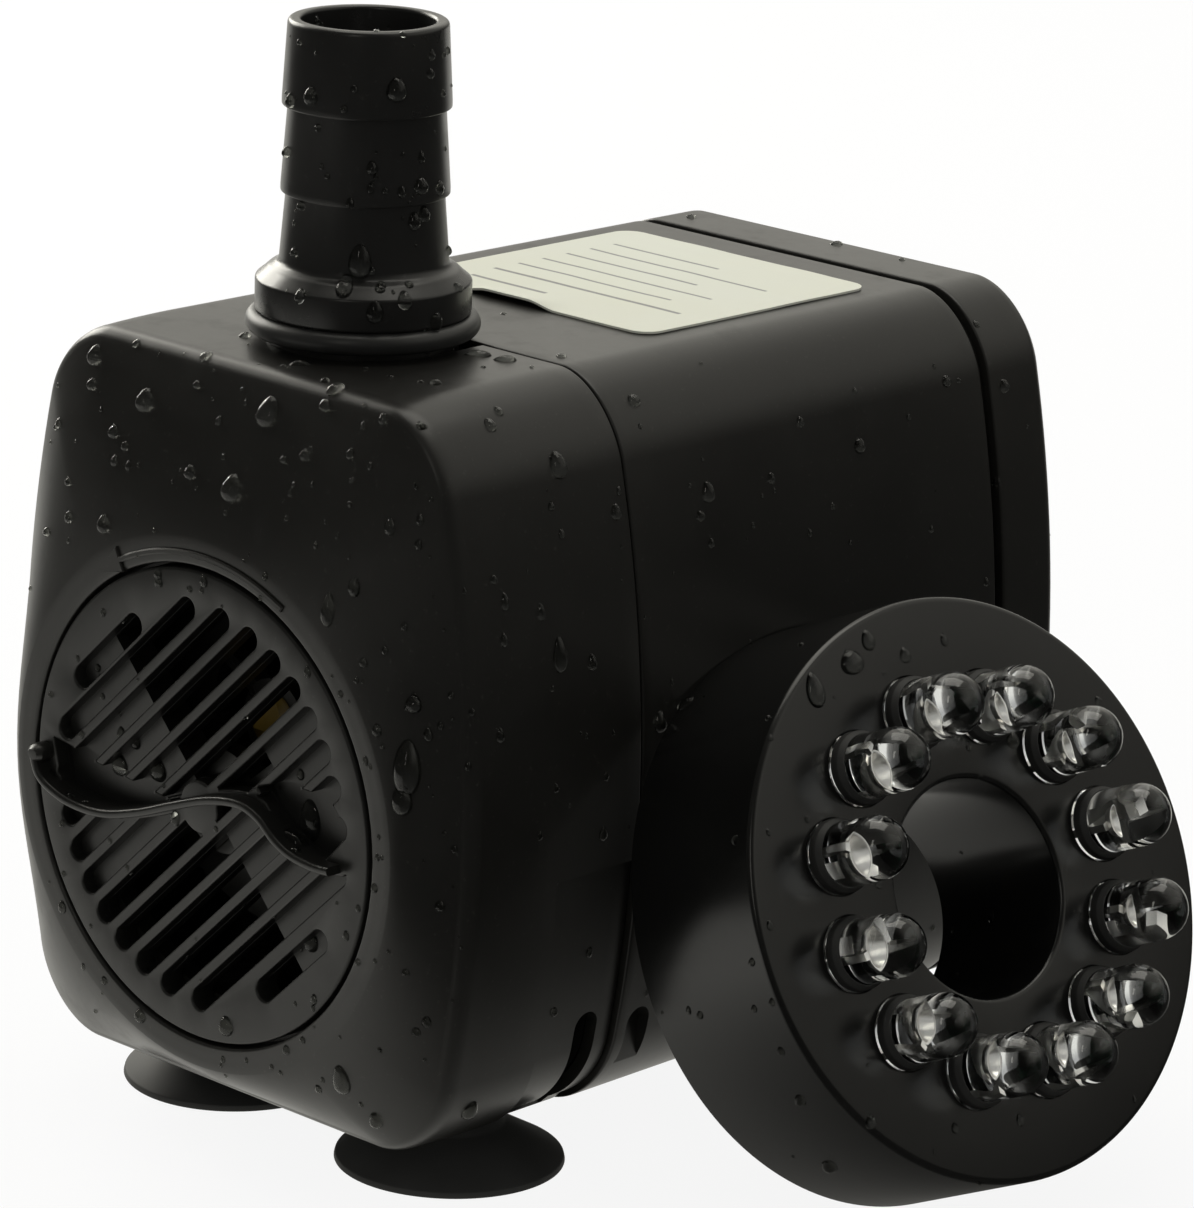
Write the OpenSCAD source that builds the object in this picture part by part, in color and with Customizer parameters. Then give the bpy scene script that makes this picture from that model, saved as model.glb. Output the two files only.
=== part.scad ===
// Submersible fountain pump with a turning flow dial and a separate light ring.
// The outlet axis is the Z axis, the front faces -Y, and the suction cups stand on z = 0.

/* [Body] */
// Distance from the outlet axis to the flat front face
front_reach = 16.5; // [15.5:0.1:18]
// Body width just behind the rounded front
front_width = 51.2; // [49:0.2:56]
// Body width at the rear face
rear_width = 49.8; // [48:0.2:56]
// Body height without the suction cups
body_height = 59.1; // [58:0.1:64]
// Radius of the two upper long edges
top_round = 6.4; // [4:0.1:9]
// Radius of the two lower long edges
bottom_round = 7; // [5:0.1:9]
// Length over which the front rounds off
front_round = 12; // [9:0.25:12.5]
// Radius of the flat land round the dial
land_r = 21; // [20.6:0.1:22]
// Thickness of the casing walls
wall = 1.8; // [1.4:0.1:2.2]
// Distance from the outlet axis to the joint between front shell and motor housing
seam_reach = 5.8; // [5:0.1:7]
// Distance from the rear cups to the joint between motor housing and rear cover
cover_offset = 8.5; // [8:0.5:10]
// Length of the rear cover
cover_length = 8; // [7:0.5:14]
// Width and depth of the groove in front of the rear cover
cover_groove = 1; // [0.6:0.1:1.4]
// Radius of the rear cover's outer edge
rear_round = 1.5; // [0.8:0.1:2.5]

/* [Flow dial] */
// Radius of the dial
dial_r = 18.7; // [18:0.1:19]
// Height of the dial's centre above the table
dial_z = 29.1; // [28:0.1:31]
// Thickness of the dial
dial_t = 2.2; // [2:0.1:2.6]
// Gap all round the dial
dial_gap = 0.3; // [0.2:0.05:0.5]
// Distance between neighbouring slots
slot_pitch = 2.67; // [2.5:0.01:3]
// Width of a slot
slot_w = 1.85; // [1.4:0.05:2]
// Angle of the slots against the table
slot_angle = 43; // [30:1:60]
// Height of the S-shaped grip rib
rib_h = 1.4; // [0.8:0.1:2]
// Thickness of the grip rib
rib_w = 0.7; // [0.5:0.05:1]
// Radius of the pin that the dial turns on
dial_pin_r = 2; // [1.6:0.1:2.4]

/* [Rotor and chamber] */
// Height of the rotor's axis above the table
rotor_z = 34.5; // [34:0.1:35]
// Inner radius of the pump chamber
chamber_r = 15.2; // [14.6:0.1:15.6]
// Depth of the pump chamber in front of the motor
chamber_depth = 12.3; // [11.5:0.1:12.5]
// Radius of the impeller
impeller_r = 11.5; // [10:0.1:12]
// Length of the impeller's blades
blade_depth = 6.4; // [5:0.1:6.6]
// Radius of the ceramic shaft
shaft_r = 1.5; // [1.2:0.05:1.7]
// Radius of the rotor's magnet
magnet_r = 7; // [6.4:0.1:7.1]
// Length of the rotor's magnet
magnet_length = 23; // [20:0.5:24]
// Inner radius of the rotor well
well_r = 7.6; // [7.4:0.05:7.8]

/* [Stator] */
// Thickness of the laminated core
core_depth = 16.5; // [14:0.5:17]
// Width of each leg of the core
leg_w = 7.5; // [6:0.1:7.6]
// Build-up of the winding on a bobbin
winding_t = 3.6; // [2.5:0.1:3.8]

/* [Outlet and nozzle] */
// Bore radius of the nozzle
nozzle_bore_r = 5.12; // [4.6:0.02:5.3]
// Largest radius of the hose barbs
barb_r = 6.5; // [6.4:0.05:7]
// Height of the nozzle's top rim above the body
nozzle_height = 24.93; // [23:0.1:30]
// Radius of the nozzle's collar
collar_r = 8.345; // [8:0.05:8.4]
// Outer radius of the outlet socket on the body
socket_r = 7.4; // [7.2:0.05:7.6]
// Outer radius of the sealing ring under the collar
seal_r = 9.08; // [8.8:0.02:9.2]

/* [Suction cups] */
// Height of a suction cup from the table to the body
cup_height = 4.4; // [4:0.1:6]
// Radius of a suction cup's rim
cup_r = 9.1; // [7:0.1:10]
// Distance of each cup from the middle plane
cup_x = 12.4; // [11:0.1:12.6]
// How far the front cups sit in front of the outlet axis
front_cup_reach = 0.75; // [0:0.25:1]
// How far the rear cups sit behind the outlet axis
rear_cup_reach = 39.5; // [38:0.5:41]

/* [Label] */
// Width of the label across the body
label_w = 27; // [20:0.5:32]
// Length of the label along the body
label_l = 26.3; // [20:0.1:28]
// Distance from the outlet axis to the label's front edge
label_reach = 17.5; // [12:0.5:18]

/* [Light ring] */
// Outer radius of the ring at its face
ring_face_r = 22.54; // [22:0.02:23]
// How much wider the ring is at its back
ring_draft = 0.23; // [0:0.01:0.6]
// Thickness of the ring
ring_t = 13.8; // [13:0.1:15]
// Radius of the hole in the middle
ring_hole_r = 8.445; // [8.4:0.005:8.6]
// Angle by which the ring leans back
ring_lean = 24.1; // [22:0.1:26]
// Angle by which the ring turns towards the front
ring_turn = 4.6; // [0:0.1:8]
// Gap between the ring's upper back edge and the pump that it leans on
ring_gap = 0.3; // [0.05:0.05:12]
// Distance from the outlet axis to the ring's centre, to the rear
ring_y = 20.7; // [14:0.1:26]
// Number of lamps in the ring
lamp_count = 12; // [6:1:12]
// Radius of a lamp
lamp_r = 2.45; // [2:0.05:2.6]
// Height of a lamp above the ring's face
lamp_height = 6.95; // [6:0.05:9]

/* [Hidden] */

$fn = 64;
// One overrun serves all cuts
cut = 0.5;
// Clearance between fixed pieces that are pushed together
push_fit = 0.05;
// Clearance between pieces that turn on each other
run_fit = 0.03;
// Clearance between casings that slide over each other
slide_gap = 0.3;
// Sealing seams that show as a fine line
seam_gap = 0.15;

// Heights and places of the body
body_low = cup_height;
body_top = cup_height + body_height;
front_y = -front_reach;
seam_y = seam_reach;
cover_y = rear_cup_reach + cover_offset;
rear_y = cover_y + cover_length;
round_end_y = front_y + front_round;

// The sides swell most a little below mid-height
barrel_share = 0.165;
barrel_height_share = 0.465;
// Exponent of the rounded front: 2 is a quarter circle and more is squarer
round_power = 2.6;
corner_steps = 7;
side_steps = 8;
flat_steps = 9;
round_steps = 11;

// Front shell
plate_t = 1.8;
plate_gap = 0.2;
plate_front_y = front_y + dial_t + plate_gap;
plate_back_y = plate_front_y + plate_t;
cavity_r = dial_r + 0.8 * dial_gap;
lip_length = 1.5;
notch_r = socket_r + slide_gap + dial_gap / 3;
grip_depth = 0.6;
grip_top_z = 26.4;
grip_low_z = 9;
grip_reach = 3;
slot_one_reach = 1.6;
slot_two_reach = 6.5;
under_slot_w = 2.5;
under_slot_top_z = 14.2;
under_slot_two_top_z = 12;
under_slot_x = 17.2;
under_slot_depth = 1.5;
arrow_r = 19.95;
arrow_w = 0.45;
arrow_h = 0.25;
arrow_from = 63;
arrow_to = 117;
arrow_head_w = 1.6;
arrow_head_length = 2.2;

// Flow dial
bar_shift = 0.4;
slot_end_r = 15.5;
groove_depth = 1.25;
pocket_depth = 1.6;
hub_keep_r = 3.4;
moon_half = 4;
moon_shift = -0.9;
half_open_end = 8.4;
open_start = 38;
open_end = 135;
window_inner_r = 4.2;
window_outer_r = 15.8;
pin_head_w = 0.6;
pin_head_r = dial_pin_r + pin_head_w;
pin_head_l = 1.3;
pin_slit = 0.7;
// The S-shaped rib and the finger pockets above it, as shares of the dial's radius
rib_shares = [[-0.96, 0.0], [-0.93, -0.07], [-0.86, -0.115], [-0.72, -0.15], [-0.52, -0.145],
              [-0.30, -0.085], [-0.08, 0], [0.12, 0.07], [0.30, 0.10], [0.42, 0.07],
              [0.52, 0], [0.62, -0.04], [0.75, -0.055], [0.84, -0.05]];
left_pocket_shares = [[-0.15, -0.02], [-0.32, 0.0], [-0.50, 0.02], [-0.66, 0.04],
                      [-0.80, 0.07], [-0.90, 0.08]];
right_pocket_shares = [[0.84, 0.06], [0.82, 0.17], [0.74, 0.22], [0.60, 0.225],
                       [0.46, 0.21], [0.35, 0.17]];
left_pocket_from = 2;
left_pocket_to = 6;
right_pocket_from = 9;
right_pocket_to = 12;
spline_steps = 4;

// Pump chamber, rotor well and outlet socket
chamber_wall = wall;
chamber_front_y = seam_y + seam_gap - chamber_depth;
front_wall_t = 2;
motor_front_y = seam_y + seam_gap;
motor_inner_y = motor_front_y + front_wall_t;
socket_rim_h = 0.5;
socket_top = body_top + socket_rim_h;
nozzle_tail_t = 0.7;
socket_bore_r = nozzle_bore_r + nozzle_tail_t;
well_wall = 1.2;
magnet_setback = 2;
well_end_gap = 2.05;
magnet_front_y = motor_inner_y + magnet_setback;
well_end_y = magnet_front_y + magnet_length + well_end_gap;
bush_pocket_r = 3;
bush_pocket_l = 3;
well_cap_t = 1.5;
well_back_y = well_end_y + bush_pocket_l + well_cap_t;

// Chamber cover
cover_plate_t = 1.6;
spigot_l = 2.8;
spigot_wall = 1.75;
seal_groove_w = 1.2;
seal_groove_depth = 0.82;
eye_r = 7.5;
spider_count = 3;
spider_w = 1.2;
front_bush_r = 2.2;
front_bush_l = 3.6;
front_bush_cap = 0.9;
hub_wall = 1.1;
cover_front_y = chamber_front_y - cover_plate_t;
hub_nose_l = 0.8;
bush_nose_l = 0.3;
hub_front_y = cover_front_y - hub_nose_l;
front_bush_y = hub_front_y - bush_nose_l;

// Impeller and rotor
blade_count = 6;
blade_t = 1;
blade_clear = 1.1;
shroud_t = 1.2;
impeller_back_y = motor_front_y - blade_clear;
shroud_front_y = impeller_back_y - shroud_t;
impeller_hub_r = 3.6;
sleeve_r = 4.6;

// Stator
core_setback = 5.5;
core_floor_gap = 1.3;
core_front_y = motor_inner_y + core_setback;
core_low_z = body_low + wall + core_floor_gap;
yoke_h = 6;
leg_gap_half = 5.6;
pole_drop = 9;
pole_rise = 11.5;
pole_low_z = rotor_z - pole_drop;
pole_top_z = rotor_z + pole_rise;
pole_half_w = 16.5;
pole_gap_half = 1.2;
bobbin_wall = 0.8;
flange_margin = 0.2;
bobbin_flange = winding_t + flange_margin;
core_slip = 0.05;

// Resin and rear cover
cover_lip_l = 2.8;
cover_lip_wall = 1.35;
cover_wall = wall;
groove_end_y = cover_y + cover_groove;
lip_front_y = cover_y - cover_lip_l;
cover_inner_y = rear_y - cover_wall;

// Cable gland
gland_z = 18;
gland_bore_r = 2.75;
gland_body_r = 4.2;
gland_flange_r = 5.6;
gland_flange_t = 1.5;
gland_nose_r = 4.6;
gland_nose_l = 2.4;
gland_tail_l = 3;

// Nozzle, from the socket up, as heights above the body
spigot_r = socket_bore_r - push_fit;
spigot_gap = 2.3;
spigot_low = rotor_z + chamber_r + spigot_gap - body_top;
seal_height = 2.5;
neck_r = 6.5;
collar_low = socket_rim_h + seal_height;
collar_flat = 0.9;
collar_top = 5.28;
cone_base_r = 7.2;
barb_two = 12.11;
barb_one = 18.8;
barb_step = 0.5;
waist_depth = 0.45;
cone_depth = 0.55;
rim_depth = 0.36;
waist_r = barb_r - waist_depth;
cone_waist_r = barb_r - cone_depth;
rim_r = barb_r - rim_depth;
rim_round = 0.4;

// Suction cups and their sockets in the floor of the body
cup_rim_w = 0.5;
cup_wall = 0.9;
cup_neck_r = 3.4;
stem_r = 2;
stem_head_r = 3;
stem_head_l = 1.9;
socket_floor_t = 1.6;
boss_r = 4;
boss_h = 3;

// Label
label_t = 0.2;
label_round = 1.8;

// Light ring, measured from its face towards its back
ring_wall = 1.4;
ring_face_t = 1.6;
ring_edge = 0.5;
hole_edge = 0.4;
ring_ledge = 1;
board_depth = 5;
board_t = 1.6;
board_edge_gap = 0.3;
resin_t = 5;
back_t = 1.6;
lamp_first_angle = 9.4;
lamp_pitch_share = 0.405;
ring_back_r = ring_face_r + ring_draft;
lamp_pitch_r = mix(ring_hole_r, ring_face_r, lamp_pitch_share);
lamp_sink = 0.7;
lamp_flange_w = 0.4;
lamp_flange_r = lamp_r + lamp_flange_w;
lamp_flange_t = 1;
lamp_seal_top = 1.3;
lead_w = 0.5;
lead_spread = 1.27;
lead_drop = 8.2;
post_height = 3.4;
anvil_height = 2.6;
anvil_w = 1.1;
lead_hole_r = 0.45;
ring_gland_bore_r = 1.5;
ring_gland_r = 2.4;
ring_gland_flange_r = 3.2;
ring_gland_l = 3;
ring_gland_depth = 9;
gland_throat = 0.8;

// Colours
shell_grey = [0.13, 0.13, 0.12];
dial_grey = [0.16, 0.16, 0.15];
rubber_black = [0.05, 0.05, 0.05];
steel_grey = [0.55, 0.56, 0.58];
copper_red = [0.72, 0.36, 0.18];
nylon_white = [0.85, 0.84, 0.78];
resin_black = [0.08, 0.08, 0.09];
ceramic_white = [0.93, 0.92, 0.88];
bush_amber = [0.55, 0.42, 0.12];
label_white = [0.89, 0.89, 0.84];
board_green = [0.1, 0.35, 0.2];
clear_epoxy = [0.9, 0.93, 0.93];
tin_silver = [0.8, 0.8, 0.82];

// Geometry of the casing

function mix(a, b, t) = a + (b - a) * t;
function half_width(y) = mix(front_width, rear_width, (y - round_end_y) / (rear_y - round_end_y)) / 2;
function barrel(z) = let (half_h = body_height / 2,
                          z_wide = body_low + barrel_height_share * body_height)
    1 - barrel_share * pow((z - z_wide) / half_h, 2);

// Right half of the rounded outline, from the middle of the floor to the middle of the top
function half_outline(w, low, top, r_low, r_top) = concat(
    [for (i = [0 : flat_steps - 1]) [(w - r_low) * i / flat_steps, low]],
    [for (i = [0 : corner_steps])
        let (a = -90 + 90 * i / corner_steps) [w - r_low + r_low * cos(a), low + r_low + r_low * sin(a)]],
    [for (i = [1 : side_steps - 1]) [w, mix(low + r_low, top - r_top, i / side_steps)]],
    [for (i = [0 : corner_steps])
        let (a = 90 * i / corner_steps) [w - r_top + r_top * cos(a), top - r_top + r_top * sin(a)]],
    [for (i = [flat_steps - 1 : -1 : 0]) [(w - r_top) * i / flat_steps, top]]);

// Whole outline at a distance inside the casing's surface, as x and z
function outline(y, inset) =
    let (half = half_outline(half_width(y) - inset, body_low + inset, body_top - inset,
                             bottom_round - inset, top_round - inset),
         count = len(half),
         whole = concat(half, [for (i = [count - 2 : -1 : 1]) [-half[i][0], half[i][1]]]))
    [for (p = whole) [p[0] * barrel(p[1]), p[1]]];

// A ring of the rounded front: share 0 is the land's circle and share 1 the full outline
function blend_ring(points, r, share) =
    let (power = 2 / round_power, out = pow(sin(90 * share), power))
    [for (p = points)
        let (x = p[0], z = p[1] - dial_z, far = norm([x, z]), reach = r + out * (far - r))
        [x / far * reach, dial_z + z / far * reach]];

function at_y(points, y) = [for (p = points) [p[0], y, p[1]]];

function middle(ring) = [for (axis = [0 : 2]) (max([for (p = ring) p[axis]]) + min([for (p = ring) p[axis]])) / 2];

// Closed solid through rings of equally many points, front ring first, with a fan at either end
module loft(rings) {
    count = len(rings[0]);
    last = len(rings) - 1;
    front = (last + 1) * count;
    points = concat([for (ring = rings) each ring], [middle(rings[0]), middle(rings[last])]);
    triangles = [for (i = [0 : count - 1])
        let (j = (i + 1) % count)
        each concat(
            [[front, j, i], [front + 1, last * count + i, last * count + j]],
            [for (k = [0 : last - 1])
                each [[k * count + i, k * count + j, (k + 1) * count + j],
                      [k * count + i, (k + 1) * count + j, (k + 1) * count + i]]])];
    polyhedron(points, triangles);
}

// Straight stretch of the casing between two places, drawn in by an inset
module casing_block(y_from, y_to, inset) {
    loft([at_y(outline(y_from, inset), y_from), at_y(outline(y_to, inset), y_to)]);
}

// Rounded front of the casing with its straight stretch up to a place
module casing_front(y_start, r_start, y_to, inset) {
    depth = round_end_y - y_start;
    power = 2 / round_power;
    rings = [for (i = [0 : round_steps])
        let (share = i / round_steps)
        at_y(blend_ring(outline(round_end_y, inset), r_start, share),
             round_end_y - depth * pow(cos(90 * share), power))];
    loft(concat(rings, [at_y(outline(y_to, inset), y_to)]));
}

// A flat drawing in x and z, drawn out to the rear from a place
module face_extrude(y_from, depth) {
    translate([0, y_from + depth, 0])
        rotate([90, 0, 0])
            linear_extrude(depth)
                children();
}

// A round bar along Y on an axis at a given height
module y_rod(r, y_from, y_to, z) {
    translate([0, y_to, z])
        rotate([90, 0, 0])
            cylinder(r = r, h = y_to - y_from);
}

// A profile of radius and distance, turned round the rotor's axis and facing the rear
module rotor_turned() {
    translate([0, 0, rotor_z])
        rotate([-90, 0, 0])
            rotate_extrude()
                children();
}

module tube_profile(r_in, r_out, from, to) {
    translate([r_in, from])
        square([r_out - r_in, to - from]);
}

// Dial drawings in x and z round the dial's centre

function spline_point(a, b, c, d, t) =
    0.5 * (2 * b + (c - a) * t + (2 * a - 5 * b + 4 * c - d) * t * t
           + (3 * b - a - 3 * c + d) * t * t * t);
function spline(p, steps) =
    let (last = len(p) - 1)
    concat([for (i = [0 : last - 1]) for (k = [0 : steps - 1])
        spline_point(p[max(i - 1, 0)], p[i], p[i + 1], p[min(i + 2, last)], k / steps)], [p[last]]);
function direction(p, i) =
    let (a = p[max(i - 1, 0)], b = p[min(i + 1, len(p) - 1)]) (b - a) / norm(b - a);
function beside(p, reach) =
    [for (i = [0 : len(p) - 1]) let (d = direction(p, i)) p[i] + reach * [-d[1], d[0]]];
function backwards(p) = [for (i = [len(p) - 1 : -1 : 0]) p[i]];

rib_line = spline(rib_shares * dial_r, spline_steps);

module rib_band(half) {
    polygon(concat(beside(rib_line, half), backwards(beside(rib_line, -half))));
}

// Finger pocket between the rib and a curve above it
module finger_pocket(edge_shares, from, to) {
    rib_part = [for (i = [from * spline_steps : to * spline_steps]) rib_line[i]];
    edge = spline(edge_shares * dial_r, spline_steps);
    polygon(concat(beside(rib_part, rib_w / 2), edge));
}

module pockets_2d() {
    finger_pocket(left_pocket_shares, left_pocket_from, left_pocket_to);
    finger_pocket(right_pocket_shares, right_pocket_from, right_pocket_to);
}

module slot_2d(from, to, offset_n) {
    translate([from, offset_n - slot_w / 2])
        square([to - from, slot_w]);
    translate([from, offset_n])
        circle(slot_w / 2);
    translate([to, offset_n])
        circle(slot_w / 2);
}

function slot_offset(k) = bar_shift + slot_pitch * (k - 0.5);
function slot_reach(k) = sqrt(max(0, pow(slot_end_r, 2) - pow(slot_offset(k), 2)));
slot_last = floor((slot_end_r - slot_w - bar_shift) / slot_pitch + 0.5);

// Every slot, from rim to rim, with a short one on either side
module slots_2d() {
    rotate(slot_angle)
        for (k = [1 - slot_last : slot_last])
            slot_2d(-slot_reach(k), slot_reach(k), slot_offset(k));
    for (side = [0, 180])
        rotate(slot_angle + side)
            slot_2d(moon_shift - moon_half, moon_shift + moon_half, slot_end_r - slot_w / 2);
}

// Open zones of the dial: square steps that follow the slots
module open_steps_2d() {
    rotate(slot_angle)
        for (k = [1 - slot_last : slot_last + 1]) {
            s = slot_offset(k);
            lean = s / tan(open_end - slot_angle);
            if (s > 0)
                translate([lean, s - slot_pitch / 2])
                    square([dial_r, slot_pitch]);
            else
                translate([lean - dial_r, s - slot_pitch / 2])
                    square([dial_r, slot_pitch]);
        }
    rotate(slot_angle)
        translate([0, slot_offset(0) - slot_pitch / 2])
            square([half_open_end, slot_pitch]);
}

module sector_2d(from, to, r) {
    steps = 8;
    intersection() {
        circle(r);
        polygon(concat([[0, 0]], [for (i = [0 : steps])
            let (a = mix(from, to, i / steps)) 2 * r * [cos(a), sin(a)]]));
    }
}

module grille_2d() {
    difference() {
        slots_2d();
        rib_band(rib_w / 2 + dial_gap);
        circle(hub_keep_r);
    }
}

// Front shell: the rounded intake housing

module plate_windows() {
    face_extrude(plate_front_y - cut, plate_t + 2 * cut)
        translate([0, dial_z])
            difference() {
                for (side = [0, 180])
                    sector_2d(open_start + side, open_end + side, window_outer_r);
                circle(window_inner_r);
            }
}

module under_slot(y_from, top_z, depth) {
    r = under_slot_w / 2;
    for (side = [0, 1])
        mirror([side, 0, 0]) {
            difference() {
                translate([under_slot_x, y_from, 0])
                    cube([front_width, under_slot_w, top_z - r]);
                if (depth > 0)
                    casing_block(y_from - cut, y_from + under_slot_w + cut, depth);
            }
            difference() {
                translate([under_slot_x, y_from + r, top_z - r])
                    rotate([0, 90, 0])
                        cylinder(r = r, h = front_width);
                if (depth > 0)
                    casing_block(y_from - cut, y_from + under_slot_w + cut, depth);
            }
        }
}

module grip_recess() {
    difference() {
        for (side = [-1, 1])
            translate([side * front_width / 2 - front_width / 4, -grip_reach, grip_low_z])
                cube([front_width / 2, seam_y + grip_reach + cut, grip_top_z - grip_low_z]);
        casing_block(-grip_reach - cut, seam_y + 2 * cut, grip_depth);
    }
}

module outlet_notch() {
    translate([0, 0, body_top - top_round])
        cylinder(r = notch_r, h = top_round + cut);
    translate([-notch_r, 0, body_top - top_round])
        cube([2 * notch_r, seam_y + cut, top_round + cut]);
}

module turn_arrow() {
    half = arrow_w / 2;
    steps = 12;
    head_a = arrow_head_length / arrow_r * 180 / PI;
    band = [for (i = [0 : steps]) mix(arrow_from, arrow_to, i / steps)];
    face_extrude(front_y - arrow_h, arrow_h + cut)
        translate([0, dial_z])
            polygon(concat(
                [for (a = band) (arrow_r - half) * [cos(a), sin(a)]],
                [(arrow_r - arrow_head_w / 2) * [cos(arrow_to), sin(arrow_to)]],
                [arrow_r * [cos(arrow_to + head_a), sin(arrow_to + head_a)]],
                [(arrow_r + arrow_head_w / 2) * [cos(arrow_to), sin(arrow_to)]],
                [for (a = backwards(band)) (arrow_r + half) * [cos(a), sin(a)]]));
}

module cup_boss(x, y) {
    translate([x, y, body_low + wall / 2])
        cylinder(r = boss_r, h = wall / 2 + boss_h);
}

module cup_socket(x, y) {
    translate([x, y, body_low - cut])
        cylinder(r = stem_r + push_fit, h = socket_floor_t + 2 * cut);
    translate([x, y, body_low + socket_floor_t])
        cylinder(r = stem_head_r + push_fit, h = stem_head_l + 2 * push_fit);
}

module front_shell() {
    color(shell_grey)
        difference() {
            union() {
                difference() {
                    casing_front(front_y, land_r, seam_y, 0);
                    casing_front(plate_back_y, cavity_r, seam_y + cut, wall);
                }
                turn_arrow();
                for (side = [-1, 1])
                    cup_boss(side * cup_x, -front_cup_reach);
            }
            y_rod(dial_r + dial_gap, front_y - cut, plate_front_y, dial_z);
            y_rod(dial_pin_r + run_fit, front_y, plate_back_y + cut, dial_z);
            plate_windows();
            outlet_notch();
            grip_recess();
            under_slot(slot_one_reach, under_slot_top_z, 0);
            for (side = [-1, 1])
                cup_socket(side * cup_x, -front_cup_reach);
        }
}

// Flow dial: the round grille that opens and closes the intake

module flow_dial() {
    color(dial_grey) {
        difference() {
            y_rod(dial_r, front_y, front_y + dial_t, dial_z);
            face_extrude(front_y - cut, groove_depth + cut)
                translate([0, dial_z])
                    grille_2d();
            face_extrude(front_y - cut, dial_t + 2 * cut)
                translate([0, dial_z])
                    intersection() {
                        grille_2d();
                        open_steps_2d();
                    }
            face_extrude(front_y - cut, pocket_depth + cut)
                translate([0, dial_z])
                    difference() {
                        pockets_2d();
                        circle(hub_keep_r);
                    }
        }
        face_extrude(front_y - rib_h, rib_h + groove_depth)
            translate([0, dial_z])
                rib_band(rib_w / 2);
        difference() {
            union() {
                y_rod(dial_pin_r, front_y + dial_t / 2, plate_back_y + pin_head_l, dial_z);
                translate([0, plate_back_y + pin_head_l, dial_z])
                    rotate([90, 0, 0])
                        cylinder(r1 = dial_pin_r, r2 = pin_head_r, h = pin_head_l - plate_gap);
            }
            translate([-pin_slit / 2, plate_front_y, dial_z - 2 * dial_pin_r])
                cube([pin_slit, plate_t + pin_head_l + cut, 4 * dial_pin_r]);
        }
    }
}

// Motor housing with the pump chamber, the rotor well and the outlet socket

module motor_housing() {
    color(shell_grey)
        difference() {
            union() {
                difference() {
                    casing_block(motor_front_y, cover_y, 0);
                    casing_block(motor_inner_y, cover_y + cut, wall);
                }
                difference() {
                    casing_block(seam_y - lip_length, motor_inner_y, wall + slide_gap);
                    casing_block(seam_y - lip_length - cut, motor_front_y, 2 * wall + slide_gap);
                }
                y_rod(chamber_r + chamber_wall, chamber_front_y, motor_inner_y, rotor_z);
                y_rod(well_r + well_wall, motor_front_y, well_back_y, rotor_z);
                translate([0, 0, rotor_z])
                    cylinder(r = socket_r, h = socket_top - rotor_z);
                for (side = [-1, 1])
                    cup_boss(side * cup_x, rear_cup_reach);
            }
            y_rod(chamber_r + chamber_wall + push_fit, -front_reach, chamber_front_y, rotor_z);
            y_rod(chamber_r, chamber_front_y - cut, motor_front_y, rotor_z);
            y_rod(well_r, seam_y - cut, well_end_y, rotor_z);
            y_rod(bush_pocket_r, well_end_y - cut, well_end_y + bush_pocket_l, rotor_z);
            translate([0, 0, rotor_z])
                cylinder(r = socket_bore_r, h = socket_top - rotor_z + cut);
            under_slot(slot_two_reach, under_slot_two_top_z, under_slot_depth);
            for (side = [-1, 1])
                cup_socket(side * cup_x, rear_cup_reach);
        }
}

// Rear cover

module rear_cover() {
    edge_steps = 5;
    edge = [for (i = [0 : edge_steps])
        let (a = 90 * i / edge_steps, inset = rear_round * (1 - cos(a)))
        at_y(outline(rear_y, inset), rear_y - rear_round + rear_round * sin(a))];
    color(shell_grey)
        difference() {
            union() {
                loft(concat([at_y(outline(groove_end_y, 0), groove_end_y)], edge));
                casing_block(cover_y, groove_end_y + cut, cover_groove);
                casing_block(lip_front_y, cover_y + cut, wall + push_fit);
            }
            casing_block(lip_front_y - cut, cover_inner_y, wall + push_fit + cover_lip_wall);
            y_rod(gland_body_r + push_fit, cover_inner_y - cut, rear_y + cut, gland_z);
        }
}

// Cable gland: the inlet for the supply cord

module cable_gland() {
    color(rubber_black)
        translate([0, rear_y, gland_z])
            rotate([-90, 0, 0])
                rotate_extrude()
                    difference() {
                        union() {
                            tube_profile(gland_bore_r, gland_body_r, -cover_wall - gland_tail_l, gland_nose_l);
                            tube_profile(gland_bore_r, gland_flange_r,
                                         -cover_wall - gland_flange_t, -cover_wall);
                            tube_profile(gland_bore_r, gland_flange_r, 0, gland_flange_t);
                            tube_profile(gland_bore_r, gland_nose_r, gland_flange_t, gland_nose_l);
                        }
                    }
}

// Hose nozzle with two barbs

module hose_nozzle() {
    top = nozzle_height;
    shoulder_r = collar_r - cone_base_r;
    shoulder_steps = 6;
    shoulder = [for (i = [0 : shoulder_steps])
        let (a = 90 * i / shoulder_steps)
        [cone_base_r + shoulder_r * cos(a),
         collar_low + collar_flat + (collar_top - collar_low - collar_flat) * sin(a)]];
    rim = [for (i = [0 : shoulder_steps])
        let (a = 90 * i / shoulder_steps)
        [rim_r - rim_round + rim_round * cos(a), top - rim_round + rim_round * sin(a)]];
    color(shell_grey)
        translate([0, 0, body_top])
            rotate_extrude()
                polygon(concat(
                    [[nozzle_bore_r, spigot_low], [spigot_r, spigot_low],
                     [spigot_r, socket_top - body_top], [neck_r, socket_top - body_top],
                     [neck_r, collar_low], [collar_r, collar_low]],
                    shoulder,
                    [[cone_waist_r, barb_two - barb_step], [barb_r, barb_two - barb_step],
                     [barb_r, barb_two], [waist_r, barb_one - barb_step],
                     [barb_r, barb_one - barb_step], [barb_r, barb_one]],
                    rim,
                    [[nozzle_bore_r, top]]));
}

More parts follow.
